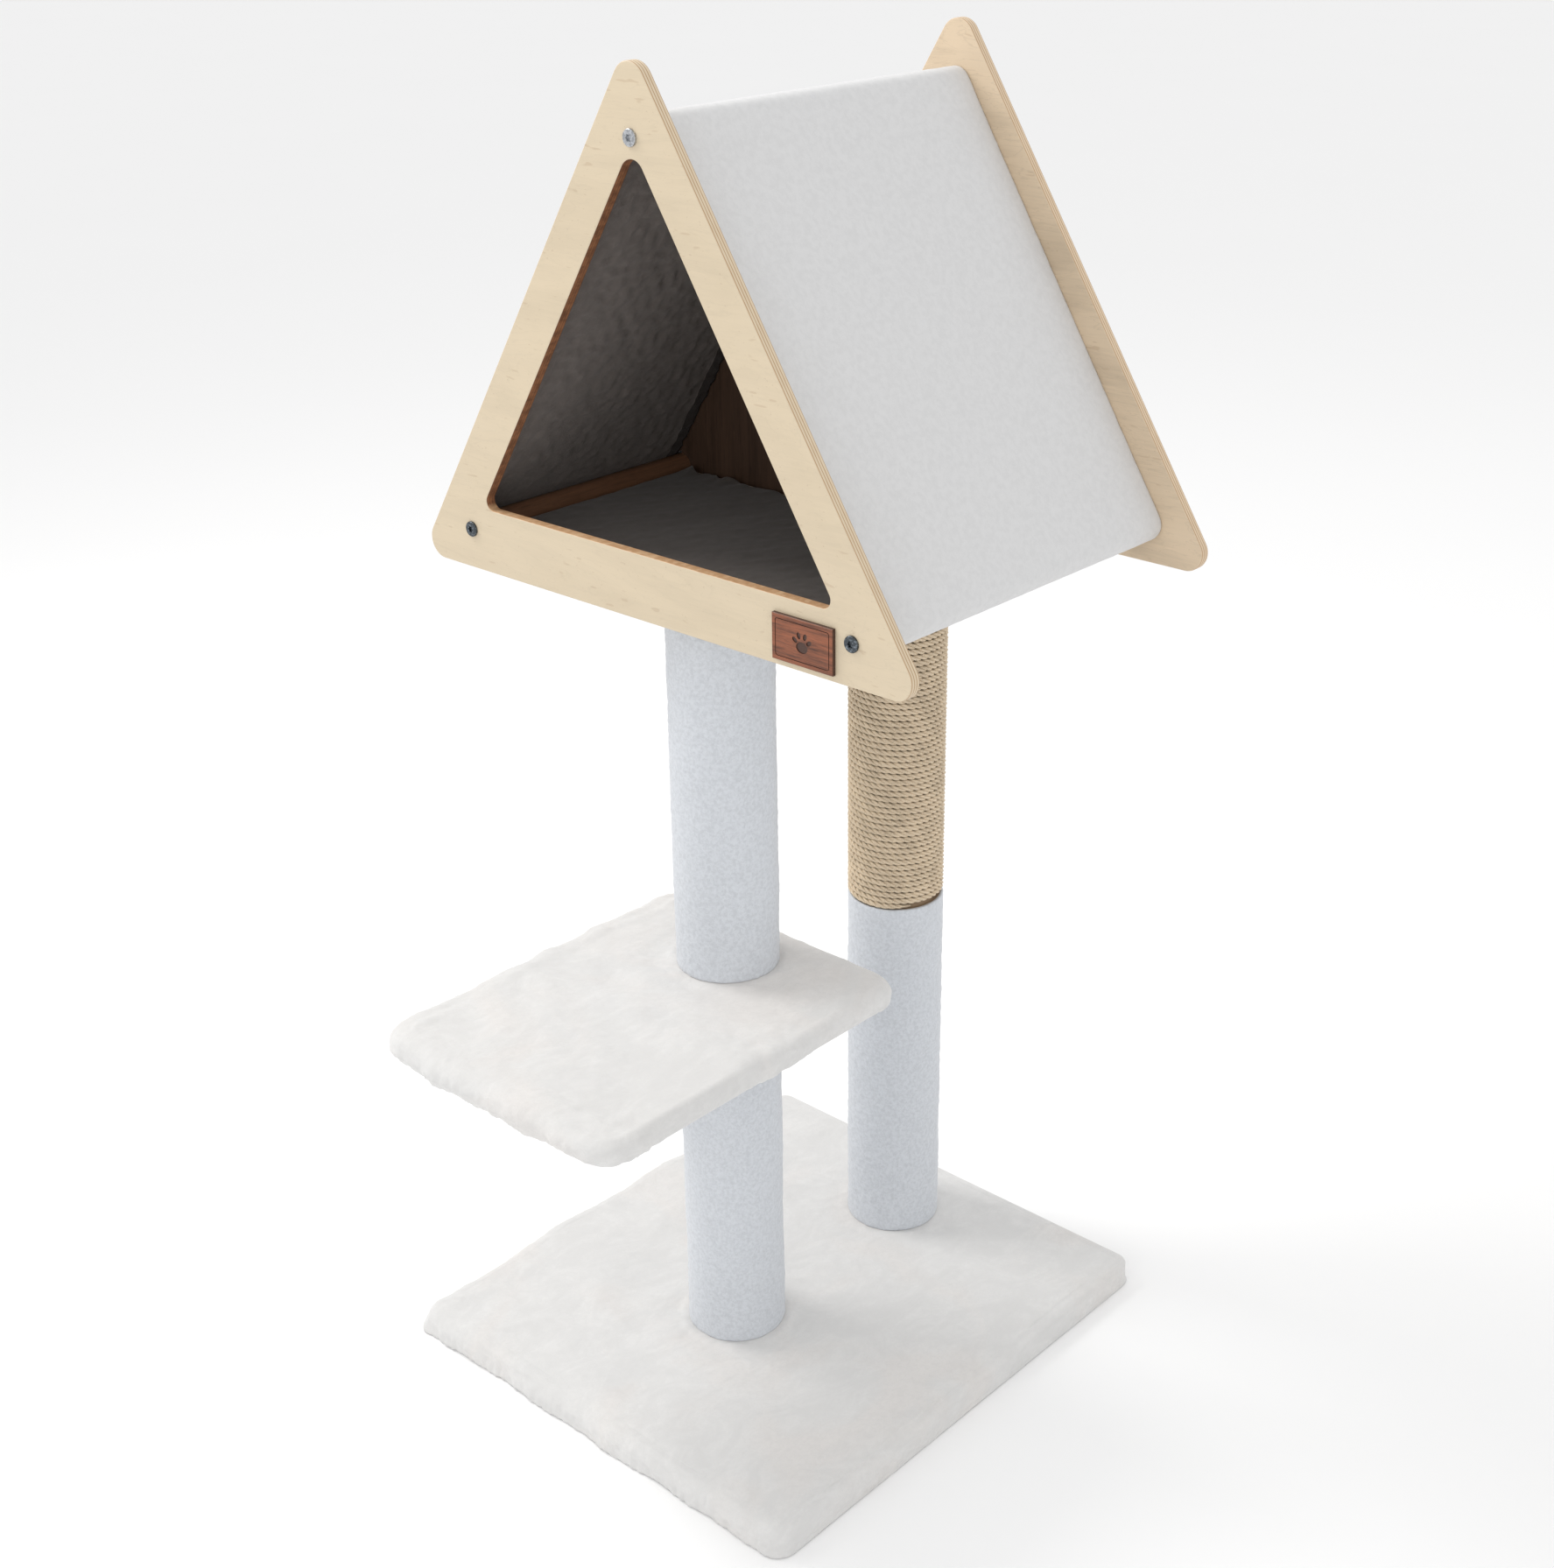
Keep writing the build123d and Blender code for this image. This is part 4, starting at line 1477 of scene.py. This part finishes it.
@dataclass
class RopeWinding:
    """Three-strand sisal rope wound tightly up the narrow tube from a tucked-in lower end."""

    node: str
    tube: str
    finish: bpy.types.Material
    rope: float = 6.3 * MM
    lay: float = 22 * MM
    strands: int = 3
    sides: int = 8
    per_lay: int = 13
    start_angle: float = math.radians(-31)
    tuck: float = 22 * MM
    bite: float = 0.1 * MM
    packing: float = 0.97
    wobble: float = 0.12 * MM
    tuck_depth: float = 1.2 * MM
    seed: int = 51
    centre: np.ndarray = field(init=False)
    low: float = field(init=False)
    high: float = field(init=False)
    middle: float = field(init=False)
    turns: float = field(init=False)
    length: float = field(init=False)

    def __post_init__(self) -> None:
        """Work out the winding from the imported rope's and tube's boxes."""
        low, high = (np.array(corner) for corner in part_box(self.node))
        self.centre, self.low, self.high = (low + high) / 2, low[2], high[2]
        tube_low, tube_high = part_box(self.tube)
        self.middle = (tube_high[0] - tube_low[0]) / 2 + self.rope / 2 - self.bite
        self.turns = (self.high - self.low - self.rope) / (self.rope * self.packing)
        self.length = self.turns * 2 * math.pi * self.middle

    def build(self) -> list[bpy.types.Object]:
        """Build each strand, then the loose fibres.

        Returns:
            The pieces.
        """
        pieces = [self._strand(k) for k in range(self.strands)]
        for piece in pieces:
            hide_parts(self.node)
        pieces.append(self._fibres())
        return pieces

    def _line(self, t: np.ndarray) -> tuple[np.ndarray, np.ndarray, np.ndarray]:
        """The rope's middle line.

        Args:
            t: Length along the rope.

        Returns:
            Its points, outward directions and upward directions.
        """
        share = t / self.length
        angle = self.start_angle - share * self.turns * 2 * math.pi
        wobble = Waves(self.seed, 0.9, 12).at(np.stack([t, 0 * t, 0 * t], 1)) * self.wobble
        z = self.low + self.rope / 2 + share * (self.high - self.low - self.rope) + wobble
        tuck = np.clip(1 - t / self.tuck, 0, 1) + np.clip(1 - (self.length - t) / self.tuck, 0, 1)
        r = self.middle - tuck ** 2 * self.tuck_depth
        out = np.stack([np.cos(angle), np.sin(angle), 0 * angle], 1)
        line = np.stack([self.centre[0] + r * out[:, 0], self.centre[1] + r * out[:, 1], z], 1)
        up = np.tile([0.0, 0.0, 1.0], (len(t), 1))
        return line, out, up

    def _strand(self, index: int) -> bpy.types.Object:
        """One strand, turning round the rope's middle line.

        Args:
            index: Which strand.

        Returns:
            The piece.
        """
        steps = int(self.length / self.lay * self.per_lay)
        t = np.linspace(0, self.length, steps)
        line, out, up = self._line(t)
        turn = 2 * math.pi * (t / self.lay + index / self.strands)
        offset, thick = self.rope * 0.265, self.rope * 0.245
        direction = out * np.cos(turn)[:, None] + up * np.sin(turn)[:, None]
        slim = np.clip(t / self.tuck, 0.25, 1) * np.clip((self.length - t) / self.tuck, 0.25, 1)
        path = line + direction * (offset * np.sqrt(slim))[:, None]
        uneven = 1 + 0.05 * Waves(self.seed + 9 + index, 0.05, 16).at(np.stack([t, 0 * t, 0 * t], 1))
        points, faces = sweep(path, thick * slim ** 0.5 * uneven, self.sides)
        piece = new_piece(f"sisal_strand_{index + 1}", points, faces, self.finish)
        self._map(piece, steps, index)
        return piece

    def _map(self, piece: bpy.types.Object, steps: int, index: int) -> None:
        """Lay the strand map that the fibres follow: one way along the strand, the other round it.

        Args:
            piece: The strand.
            steps: Points along it.
            index: Which strand.
        """
        mesh = piece.data
        layer = mesh.uv_layers.new(name="strand")
        corner = np.empty(len(mesh.loops), np.int32)
        mesh.loops.foreach_get("vertex_index", corner)
        along, round_it = corner // self.sides, corner % self.sides
        face_start = np.empty(len(mesh.polygons), np.int32)
        mesh.polygons.foreach_get("loop_start", face_start)
        size = np.diff(np.append(face_start, len(corner)))
        face = np.repeat(np.arange(len(size)), size)
        wraps = np.zeros(len(size), bool)
        np.logical_or.at(wraps, face, round_it == self.sides - 1)
        has_first = np.zeros(len(size), bool)
        np.logical_or.at(has_first, face, round_it == 0)
        v = np.where((round_it == 0) & wraps[face] & has_first[face], self.sides, round_it) / self.sides
        u = along * self.length / steps + index * 3.7
        layer.data.foreach_set("uv", np.stack([u * 10, v], 1).astype(np.float32).ravel())

    def _fibres(self, count: int = 520) -> bpy.types.Object:
        """Short loose fibres that spring out of the rope.

        Args:
            count: How many.

        Returns:
            The piece.
        """
        draw = np.random.default_rng(self.seed + 77)
        points, faces, total = [], [], 0
        for _ in range(count):
            t = draw.uniform(0.03, 0.97) * self.length
            line, out, up = self._line(np.array([t]))
            spin = draw.uniform(-1.0, 1.0)
            root = line[0] + (out[0] * math.cos(spin) + up[0] * math.sin(spin)) * self.rope * 0.44
            tangent = np.cross(up[0], out[0])
            lean = tangent * draw.choice([-1, 1]) * draw.uniform(0.6, 1.2) + up[0] * draw.normal(0, 0.25)
            reach = draw.uniform(3.0, 7.0) * MM
            s = np.linspace(0, 1, 5)[:, None]
            lift = draw.uniform(0.15, 0.42)
            path = root + lean * reach * s + out[0] * reach * (lift * s - 0.22 * s ** 2) - out[0] * 0.3 * MM
            tube, quads = sweep(path, np.linspace(0.09, 0.05, 5) * MM, 3, total)
            points.append(tube)
            faces += quads
            total += len(tube)
        piece = new_piece("sisal_loose_fibres", np.concatenate(points), faces, self.finish)
        layer = piece.data.uv_layers.new(name="strand")
        layer.data.foreach_set("uv", np.tile(np.array([0.3, 0.4], np.float32), len(piece.data.loops)))
        return piece


# --------------------------------------------------------------------------------------------------
# Den fabrics
# --------------------------------------------------------------------------------------------------
@dataclass
class DowelHull:
    """The closed line that a belt takes round the three dowels."""

    corners: tuple[tuple[float, float], ...]

    def path(self, radius: float, step: float) -> tuple[np.ndarray, np.ndarray]:
        """Points along the belt line, anticlockwise seen from behind the front panel.

        Args:
            radius: Distance from each dowel's centre.
            step: Spacing of the points.

        Returns:
            X, Z rows, and a row of 1 for points on an arc and 0 on a straight run.
        """
        centres = [np.array(c) for c in self.corners]
        count = len(centres)
        normals = []
        for k in range(count):
            along = centres[(k + 1) % count] - centres[k]
            along /= np.linalg.norm(along)
            normals.append(np.array([along[1], -along[0]]))
        points, on_arc = [], []
        for k in range(count):
            a = math.atan2(normals[k - 1][1], normals[k - 1][0])
            b = math.atan2(normals[k][1], normals[k][0])
            sweep_by = (b - a) % (2 * math.pi)
            arc = np.linspace(a, a + sweep_by, max(6, round(radius * sweep_by / (step * 0.55))))
            for angle in arc:
                points.append(centres[k] + radius * np.array([math.cos(angle), math.sin(angle)]))
                on_arc.append(1.0)
            start = centres[k] + radius * normals[k]
            end = centres[(k + 1) % count] + radius * normals[k]
            runs = max(2, round(np.linalg.norm(end - start) / step))
            for s in np.linspace(0, 1, runs + 1)[1:-1]:
                points.append(start + (end - start) * s)
                on_arc.append(0.0)
        return np.array(points), np.array(on_arc)


@dataclass
class TentFabric:
    """The pale felt belt outside and the dark lumpy lining inside."""

    palette: Palette
    hull: DowelHull
    dowel: float
    cover_thickness: float = 3.0 * MM
    lining_thickness: float = 2.5 * MM
    cell: float = 6.5 * MM

    def build(self) -> list[bpy.types.Object]:
        """Build both fabrics."""
        return [self._cover(), self._lining()]

    @staticmethod
    def _shell(outer: np.ndarray, inner: np.ndarray, closed: bool, rows: int) -> Body:
        """Join an outer and an inner surface, given row by row along Y, into one thin body.

        Args:
            outer: Points of the outer surface.
            inner: Points of the inner surface.
            closed: Whether each row closes on itself.
            rows: Number of rows.

        Returns:
            Points and faces.
        """
        columns = len(outer) // rows
        kind = Grid.TUBE if closed else Grid.OPEN
        shift = len(outer)
        faces = grid_faces(rows, columns, kind)
        faces += [f[::-1] for f in grid_faces(rows, columns, kind, shift)]
        wide = columns if closed else columns - 1
        last = (rows - 1) * columns
        for c in range(wide):
            d = (c + 1) % columns
            faces.append((c, shift + c, shift + d, d))
            faces.append((last + d, shift + last + d, shift + last + c, last + c))
        if not closed:
            for r in range(rows - 1):
                a, b = r * columns, (r + 1) * columns
                faces.append((b, shift + b, shift + a, a))
                e, f = a + columns - 1, b + columns - 1
                faces.append((e, shift + e, shift + f, f))
        return np.concatenate([outer, inner]), faces

    def _rows(self, low: float, high: float) -> np.ndarray:
        """Rows along Y, closer together at both ends."""
        inside = np.linspace(low + 4 * MM, high - 4 * MM, round((high - low) / self.cell))
        return np.concatenate([[low, low + 1.5 * MM], inside, [high - 1.5 * MM, high]])

    def _spread(self, section: np.ndarray, ys: np.ndarray) -> np.ndarray:
        """Repeat a section at each Y.

        Args:
            section: X, Z rows.
            ys: The Y values.

        Returns:
            Points, row by row.
        """
        x = np.tile(section[:, 0], len(ys))
        z = np.tile(section[:, 1], len(ys))
        return np.stack([x, np.repeat(ys, len(section)), z], 1)

    def _cover(self) -> bpy.types.Object:
        """Pale felt belt: tight over the dowels, with the faint give of felt between them.

        Returns:
            The piece.
        """
        low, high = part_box("tent_cover")
        r_out = self.dowel + self.lining_thickness + self.cover_thickness
        section, on_arc = self.hull.path(r_out, self.cell)
        inward, _ = self.hull.path(r_out - self.cover_thickness, self.cell)
        inward = self._match(section, inward)
        ys = self._rows(low[1], high[1])
        outer, inner = self._spread(section, ys), self._spread(inward, ys)
        way = outer - inner
        way /= np.linalg.norm(way, axis=1, keepdims=True)
        share = (outer[:, 1] - low[1]) / (high[1] - low[1])
        ends = np.clip(np.minimum(share, 1 - share) * 9, 0, 1)
        loose = np.tile(self._ease(on_arc, 7, closed=True), len(ys))
        give = (self._give(outer) * ends - 0.5 * MM) * loose
        fine = Waves(23, 12 * MM, 40).at(outer) * 0.14 * MM
        soft = np.where(np.minimum(outer[:, 1] - low[1], high[1] - outer[:, 1]) < 0.4 * MM, -0.9 * MM, 0.0)
        seam = np.exp(-(outer[:, 0] / (1.2 * MM)) ** 2) * (way[:, 2] < -0.9) * 1.0 * MM
        outer += way * (give + fine + soft - seam)[:, None]
        inner += way * give[:, None]
        points, faces = self._shell(outer, inner, True, len(ys))
        piece = new_piece("tent_cover_felt", points, faces, self.palette["cover_felt"])
        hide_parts("tent_cover")
        return piece

    @staticmethod
    def _give(points: np.ndarray) -> np.ndarray:
        """How far the felt between the dowels stands in or out."""
        return (Waves(21, 190 * MM).at(points) * 1.1 + Waves(22, 60 * MM).at(points) * 0.35) * MM

    @staticmethod
    def _match(section: np.ndarray, other: np.ndarray) -> np.ndarray:
        """Points on another belt line straight inside each point of a section.

        Args:
            section: The outer line's points.
            other: The inner line's points, in the same order.

        Returns:
            One inner point for each outer point.
        """
        if len(section) == len(other):
            return other
        loop = np.vstack([other, other[:1]])
        a, b = loop[:-1], loop[1:]
        span = b - a
        out = []
        for p in section:
            t = np.clip(((p - a) * span).sum(1) / np.maximum((span ** 2).sum(1), 1e-15), 0, 1)
            near = a + span * t[:, None]
            out.append(near[np.linalg.norm(near - p, axis=1).argmin()])
        return np.array(out)

    @staticmethod
    def _ease(on_arc: np.ndarray, reach: int, closed: bool) -> np.ndarray:
        """How free each point is: 0 on a dowel, rising to 1 some points away.

        Args:
            on_arc: 1 for points on a dowel.
            reach: Points over which it rises.
            closed: Whether the line closes on itself.

        Returns:
            The freedom of each point.
        """
        count = len(on_arc)
        near = np.nonzero(on_arc > 0.5)[0]
        gap = np.abs(np.arange(count)[:, None] - near[None])
        if closed:
            gap = np.minimum(gap, count - gap)
        share = np.clip(gap.min(axis=1) / reach, 0, 1)
        return share * share * (3 - 2 * share)

    def _lining(self) -> bpy.types.Object:
        """Dark lining under both slopes: thick, lumpy needled felt.

        Returns:
            The piece.
        """
        low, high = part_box("tent_lining")
        r_in, r_out = self.dowel, self.dowel + self.lining_thickness
        step = 3.6 * MM
        section, on_arc = self.hull.path(r_out, step)
        inside, _ = self.hull.path(r_in, step)
        inside = self._match(section, inside)
        first, last = self._lining_span(section)
        order = np.arange(first, last) % len(section)
        section, inside, on_arc = section[order], inside[order], on_arc[order]
        rows = max(8, round((high[1] - low[1]) / step))
        ys = np.linspace(low[1], high[1], rows)
        outer, inner = self._spread(section, ys), self._spread(inside, ys)
        way = inner - outer
        way /= np.linalg.norm(way, axis=1, keepdims=True)
        loose = np.tile(self._ease(on_arc, 5, closed=False), len(ys))
        lumps = Waves(31, 27 * MM, 40).at(inner) * 0.35 + Waves(32, 12 * MM, 60).at(inner) * 1.1
        follow = loose * 1.6 * MM
        outer += way * follow[:, None]
        inner += way * (follow + loose * (lumps * 0.8 + 0.7) * MM)[:, None]
        points, faces = self._shell(outer, inner, False, len(ys))
        piece = new_piece("tent_lining_felt", points, faces, self.palette["lining_felt"])
        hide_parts("tent_lining")
        return piece

    def _lining_span(self, section: np.ndarray) -> tuple[int, int]:
        """Where the lining starts and ends on the belt line: it leaves the floor board's width free.

        Args:
            section: The belt line's points.

        Returns:
            The first point's number and one past the last's.
        """
        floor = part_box("floor_board")
        dowel_height = min(corner[1] for corner in self.hull.corners)
        low_down = section[:, 1] < dowel_height + 0.2 * MM
        gone = np.nonzero(low_down & (np.abs(section[:, 0]) < floor[1][0] + 1 * MM))[0]
        jumps = np.nonzero(np.diff(gone) > 1)[0]
        if len(jumps):
            return int(gone[jumps[0]] + 1), int(gone[jumps[0] + 1])
        return int(gone[-1] + 1), int(gone[0] + len(section))


@dataclass
class SleepingMat:
    """Thin felt-covered pad on the den's floor, whose rear edge has taken a wave."""

    finish: bpy.types.Material
    node: str = "floor_mat"
    cell: float = 5 * MM
    corner: float = 8 * MM
    wave: float = 3.6 * MM
    rise: float = 5.5 * MM
    rear_strip: float = 26 * MM
    section: tuple[tuple[float, float], ...] = (
        (1.6 * MM, 1.0), (0.5 * MM, 0.82), (0.0, 0.5), (0.5 * MM, 0.18), (1.6 * MM, 0.0))

    def build(self) -> bpy.types.Object:
        """Build the mat: inflate it a little, then let its rear edge ripple.

        Returns:
            The piece.
        """
        low, high = (np.array(corner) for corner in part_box(self.node))
        outline = Outline((high[0] - low[0]) / 2 - 1 * MM, (high[1] - low[1]) / 2 - 1 * MM,
                          round((high[0] - low[0]) / self.cell), round((high[1] - low[1]) / self.cell), 2)
        centre = (low + high) / 2
        thick = high[2] - low[2]
        top, *sides, bottom = [(inset, thick * level) for inset, level in self.section]
        cloud, faces = slab_skin(outline, self.corner, top, sides, bottom)
        cloud += (centre[0], centre[1], low[2])
        piece = new_piece("floor_mat_pad", cloud, faces, self.finish)
        held = np.where(cloud[:, 2] < low[2] + 0.5 * MM, 1.0, 0.25)
        Puff(reach=0.8 * MM, pressure=2.0).run(piece, held)
        refine(piece)
        mesh = piece.data
        cloud, normal = points_of(mesh), normals_of(mesh)
        back = np.clip((cloud[:, 1] - (high[1] - self.rear_strip)) / self.rear_strip, 0, 1)
        ripple = Waves(41, 26 * MM).at(cloud * (1, 0.15, 0)) * self.wave
        cloud[:, 1] += back * (ripple - 1.5 * MM)
        rise = np.clip((cloud[:, 2] - low[2]) / thick, 0, 1)
        crests = np.abs(Waves(42, 34 * MM).at(cloud * (1, 0.2, 0)))
        cloud[:, 2] += rise * back ** 2 * crests * self.rise
        dents = (Waves(43, 70 * MM).at(cloud) * 0.55 + Waves(44, 14 * MM, 40).at(cloud) * 0.22) * MM
        cloud += normal * (rise * (dents - 0.3 * MM))[:, None]
        cloud[:, 2] = np.maximum(cloud[:, 2], low[2])
        move_points(mesh, cloud)
        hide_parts(self.node)
        return piece


# --------------------------------------------------------------------------------------------------
# Studio
# --------------------------------------------------------------------------------------------------
@dataclass
class Studio:
    """Pale floor, soft lights and the camera."""

    azimuth: float = 42.83
    elevation: float = 24.397
    roll: float = -0.856
    distance: float = 2.429915
    target: Point = (-0.245493, 0.266174, 0.425064)
    lens: float = 50.54
    sensor: float = 36.0
    floor_size: float = 60.0

    def build(self) -> None:
        """Build the whole studio."""
        self._floor()
        self._lights()
        self._camera()

    def _floor(self) -> None:
        """Wide pale floor under the tree."""
        half = self.floor_size / 2
        mesh = bpy.data.meshes.new("studio_floor")
        corners = [(-half, -half, 0), (half, -half, 0), (half, half, 0), (-half, half, 0)]
        mesh.from_pydata(corners, [], [(0, 1, 2, 3)])
        mesh.materials.append(StudioFloor("studio_white", (0.95, 0.95, 0.95)).make())
        floor = bpy.data.objects.new("studio_floor", mesh)
        floor.location.z = CAD_BOX[0][2] - 0.5 * MM
        bpy.context.scene.collection.objects.link(floor)

    def _lights(self) -> None:
        """Bright even surroundings, a soft key from the left, and weak lifts from the front and rear."""
        scene = bpy.context.scene
        world = bpy.data.worlds.new("studio")
        world.use_nodes = True
        surround = next(n for n in world.node_tree.nodes if n.type == "BACKGROUND")
        surround.inputs["Color"].default_value = (1.0, 1.0, 1.0, 1.0)
        surround.inputs["Strength"].default_value = 0.93
        scene.world = world
        for name, place, size, power, colour in (
                ("key", (-1.5, -0.6, 2.4), 0.9, 27.0, (1.0, 0.985, 0.965)),
                ("fill", (0.9, -2.5, 1.4), 1.4, 6.5, (1.0, 1.0, 1.0)),
                ("rear", (-0.6, 2.6, 3.0), 2.0, 6.0, (1.0, 1.0, 1.0))):
            lamp = bpy.data.lights.new(name, "AREA")
            lamp.shape, lamp.size, lamp.energy, lamp.color = "SQUARE", size, power, colour
            light = bpy.data.objects.new(name, lamp)
            light.location = place
            light.rotation_euler = (Vector((0, 0, 0.7)) - Vector(place)).to_track_quat("-Z", "Y").to_euler()
            scene.collection.objects.link(light)
        scene.view_settings.view_transform = "Standard"

    def _camera(self) -> None:
        """Camera at the viewing angle, with its slight roll."""
        a, e = math.radians(self.azimuth), math.radians(self.elevation)
        back = Vector((math.sin(a) * math.cos(e), -math.cos(a) * math.cos(e), math.sin(e)))
        data = bpy.data.cameras.new("camera")
        data.lens, data.sensor_width = self.lens, self.sensor
        data.dof.use_dof = False
        camera = bpy.data.objects.new("camera", data)
        turn = (-back).to_track_quat("-Z", "Y").to_matrix().to_4x4()
        roll = Matrix.Rotation(math.radians(self.roll), 4, "Z")
        camera.matrix_world = Matrix.Translation(Vector(self.target) + back * self.distance) @ turn @ roll
        bpy.context.scene.collection.objects.link(camera)
        bpy.context.scene.camera = camera


# --------------------------------------------------------------------------------------------------
# The tree
# --------------------------------------------------------------------------------------------------
@dataclass
class CatTree:
    """The whole tree, built sub-assembly by sub-assembly."""

    palette: Palette

    def build(self) -> None:
        """Build and report every piece."""
        posts = tuple(tuple(centre_of(node)[:2]) for node in ("front_lower_tube", "rear_lower_tube"))
        LOG.info("%d rigid parts dressed", HardParts(self.palette).dress())
        plush = self.palette["plush"]
        base = PlushCover("base_plush", "base_board", plush, flat=(0.640, 0.692), corner=18 * MM,
                          top_round=14 * MM, low_round=3 * MM, underside=Underside.HEM, seed=3, posts=posts,
                          full=(3.0 * MM, -3.2 * MM, 0.8 * MM, -3.2 * MM), droop=2.2 * MM, flare=4.5 * MM)
        self._report(base.build())
        step = PlushCover("step_plush", "step_board", plush, flat=(0.640, 0.440), corner=30 * MM,
                          top_round=13 * MM, low_round=12 * MM, underside=Underside.CLOSED, seed=11,
                          posts=posts[:1], full=(3.2 * MM, 0.5 * MM, 3.0 * MM, 1.0 * MM))
        self._report(step.build())
        front_y, clear = posts[0][1], 54 * MM
        self._report(HandStitches("step_plush", plush, gap=(front_y - clear, front_y + clear)).build())
        for seed, name in enumerate(("front_lower", "front_upper", "rear_lower"), start=60):
            sleeve = FeltSleeve(name + "_sleeve", name + "_tube", self.palette["post_felt"], seed)
            self._report(sleeve.build())
        for piece in RopeWinding("rear_upper_sisal", "rear_upper_tube", self.palette["sisal"]).build():
            self._report(piece)
        dowels = [centre_of(node) for node in ("left_dowel", "right_dowel", "ridge_dowel")]
        radius = (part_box("ridge_dowel")[1][0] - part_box("ridge_dowel")[0][0]) / 2
        hull = DowelHull(tuple((float(c[0]), float(c[2])) for c in dowels))
        for piece in TentFabric(self.palette, hull, radius).build():
            self._report(piece)
        self._report(SleepingMat(self.palette["mat_felt"]).build())

    @staticmethod
    def _report(piece: bpy.types.Object) -> None:
        """Log a piece's name and size."""
        LOG.info("%s: %d faces", piece.name, len(piece.data.polygons))


def main() -> None:
    """Build the tree and its studio."""
    logging.basicConfig(level=logging.INFO, format="%(name)s: %(message)s")
    rope = "rear_upper_sisal"
    palette = Palette(DOORWAY, front_y=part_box("front_panel")[0][1], rear_y=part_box("rear_panel")[0][1],
                      badge_y=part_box("name_badge")[0][1], lining_end=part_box("tent_lining")[1][1],
                      rope_post=(*map(float, centre_of(rope)[:2]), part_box(rope)[1][0]))
    palette.build()
    CatTree(palette).build()
    Studio().build()


if __name__ == "__main__":
    main()
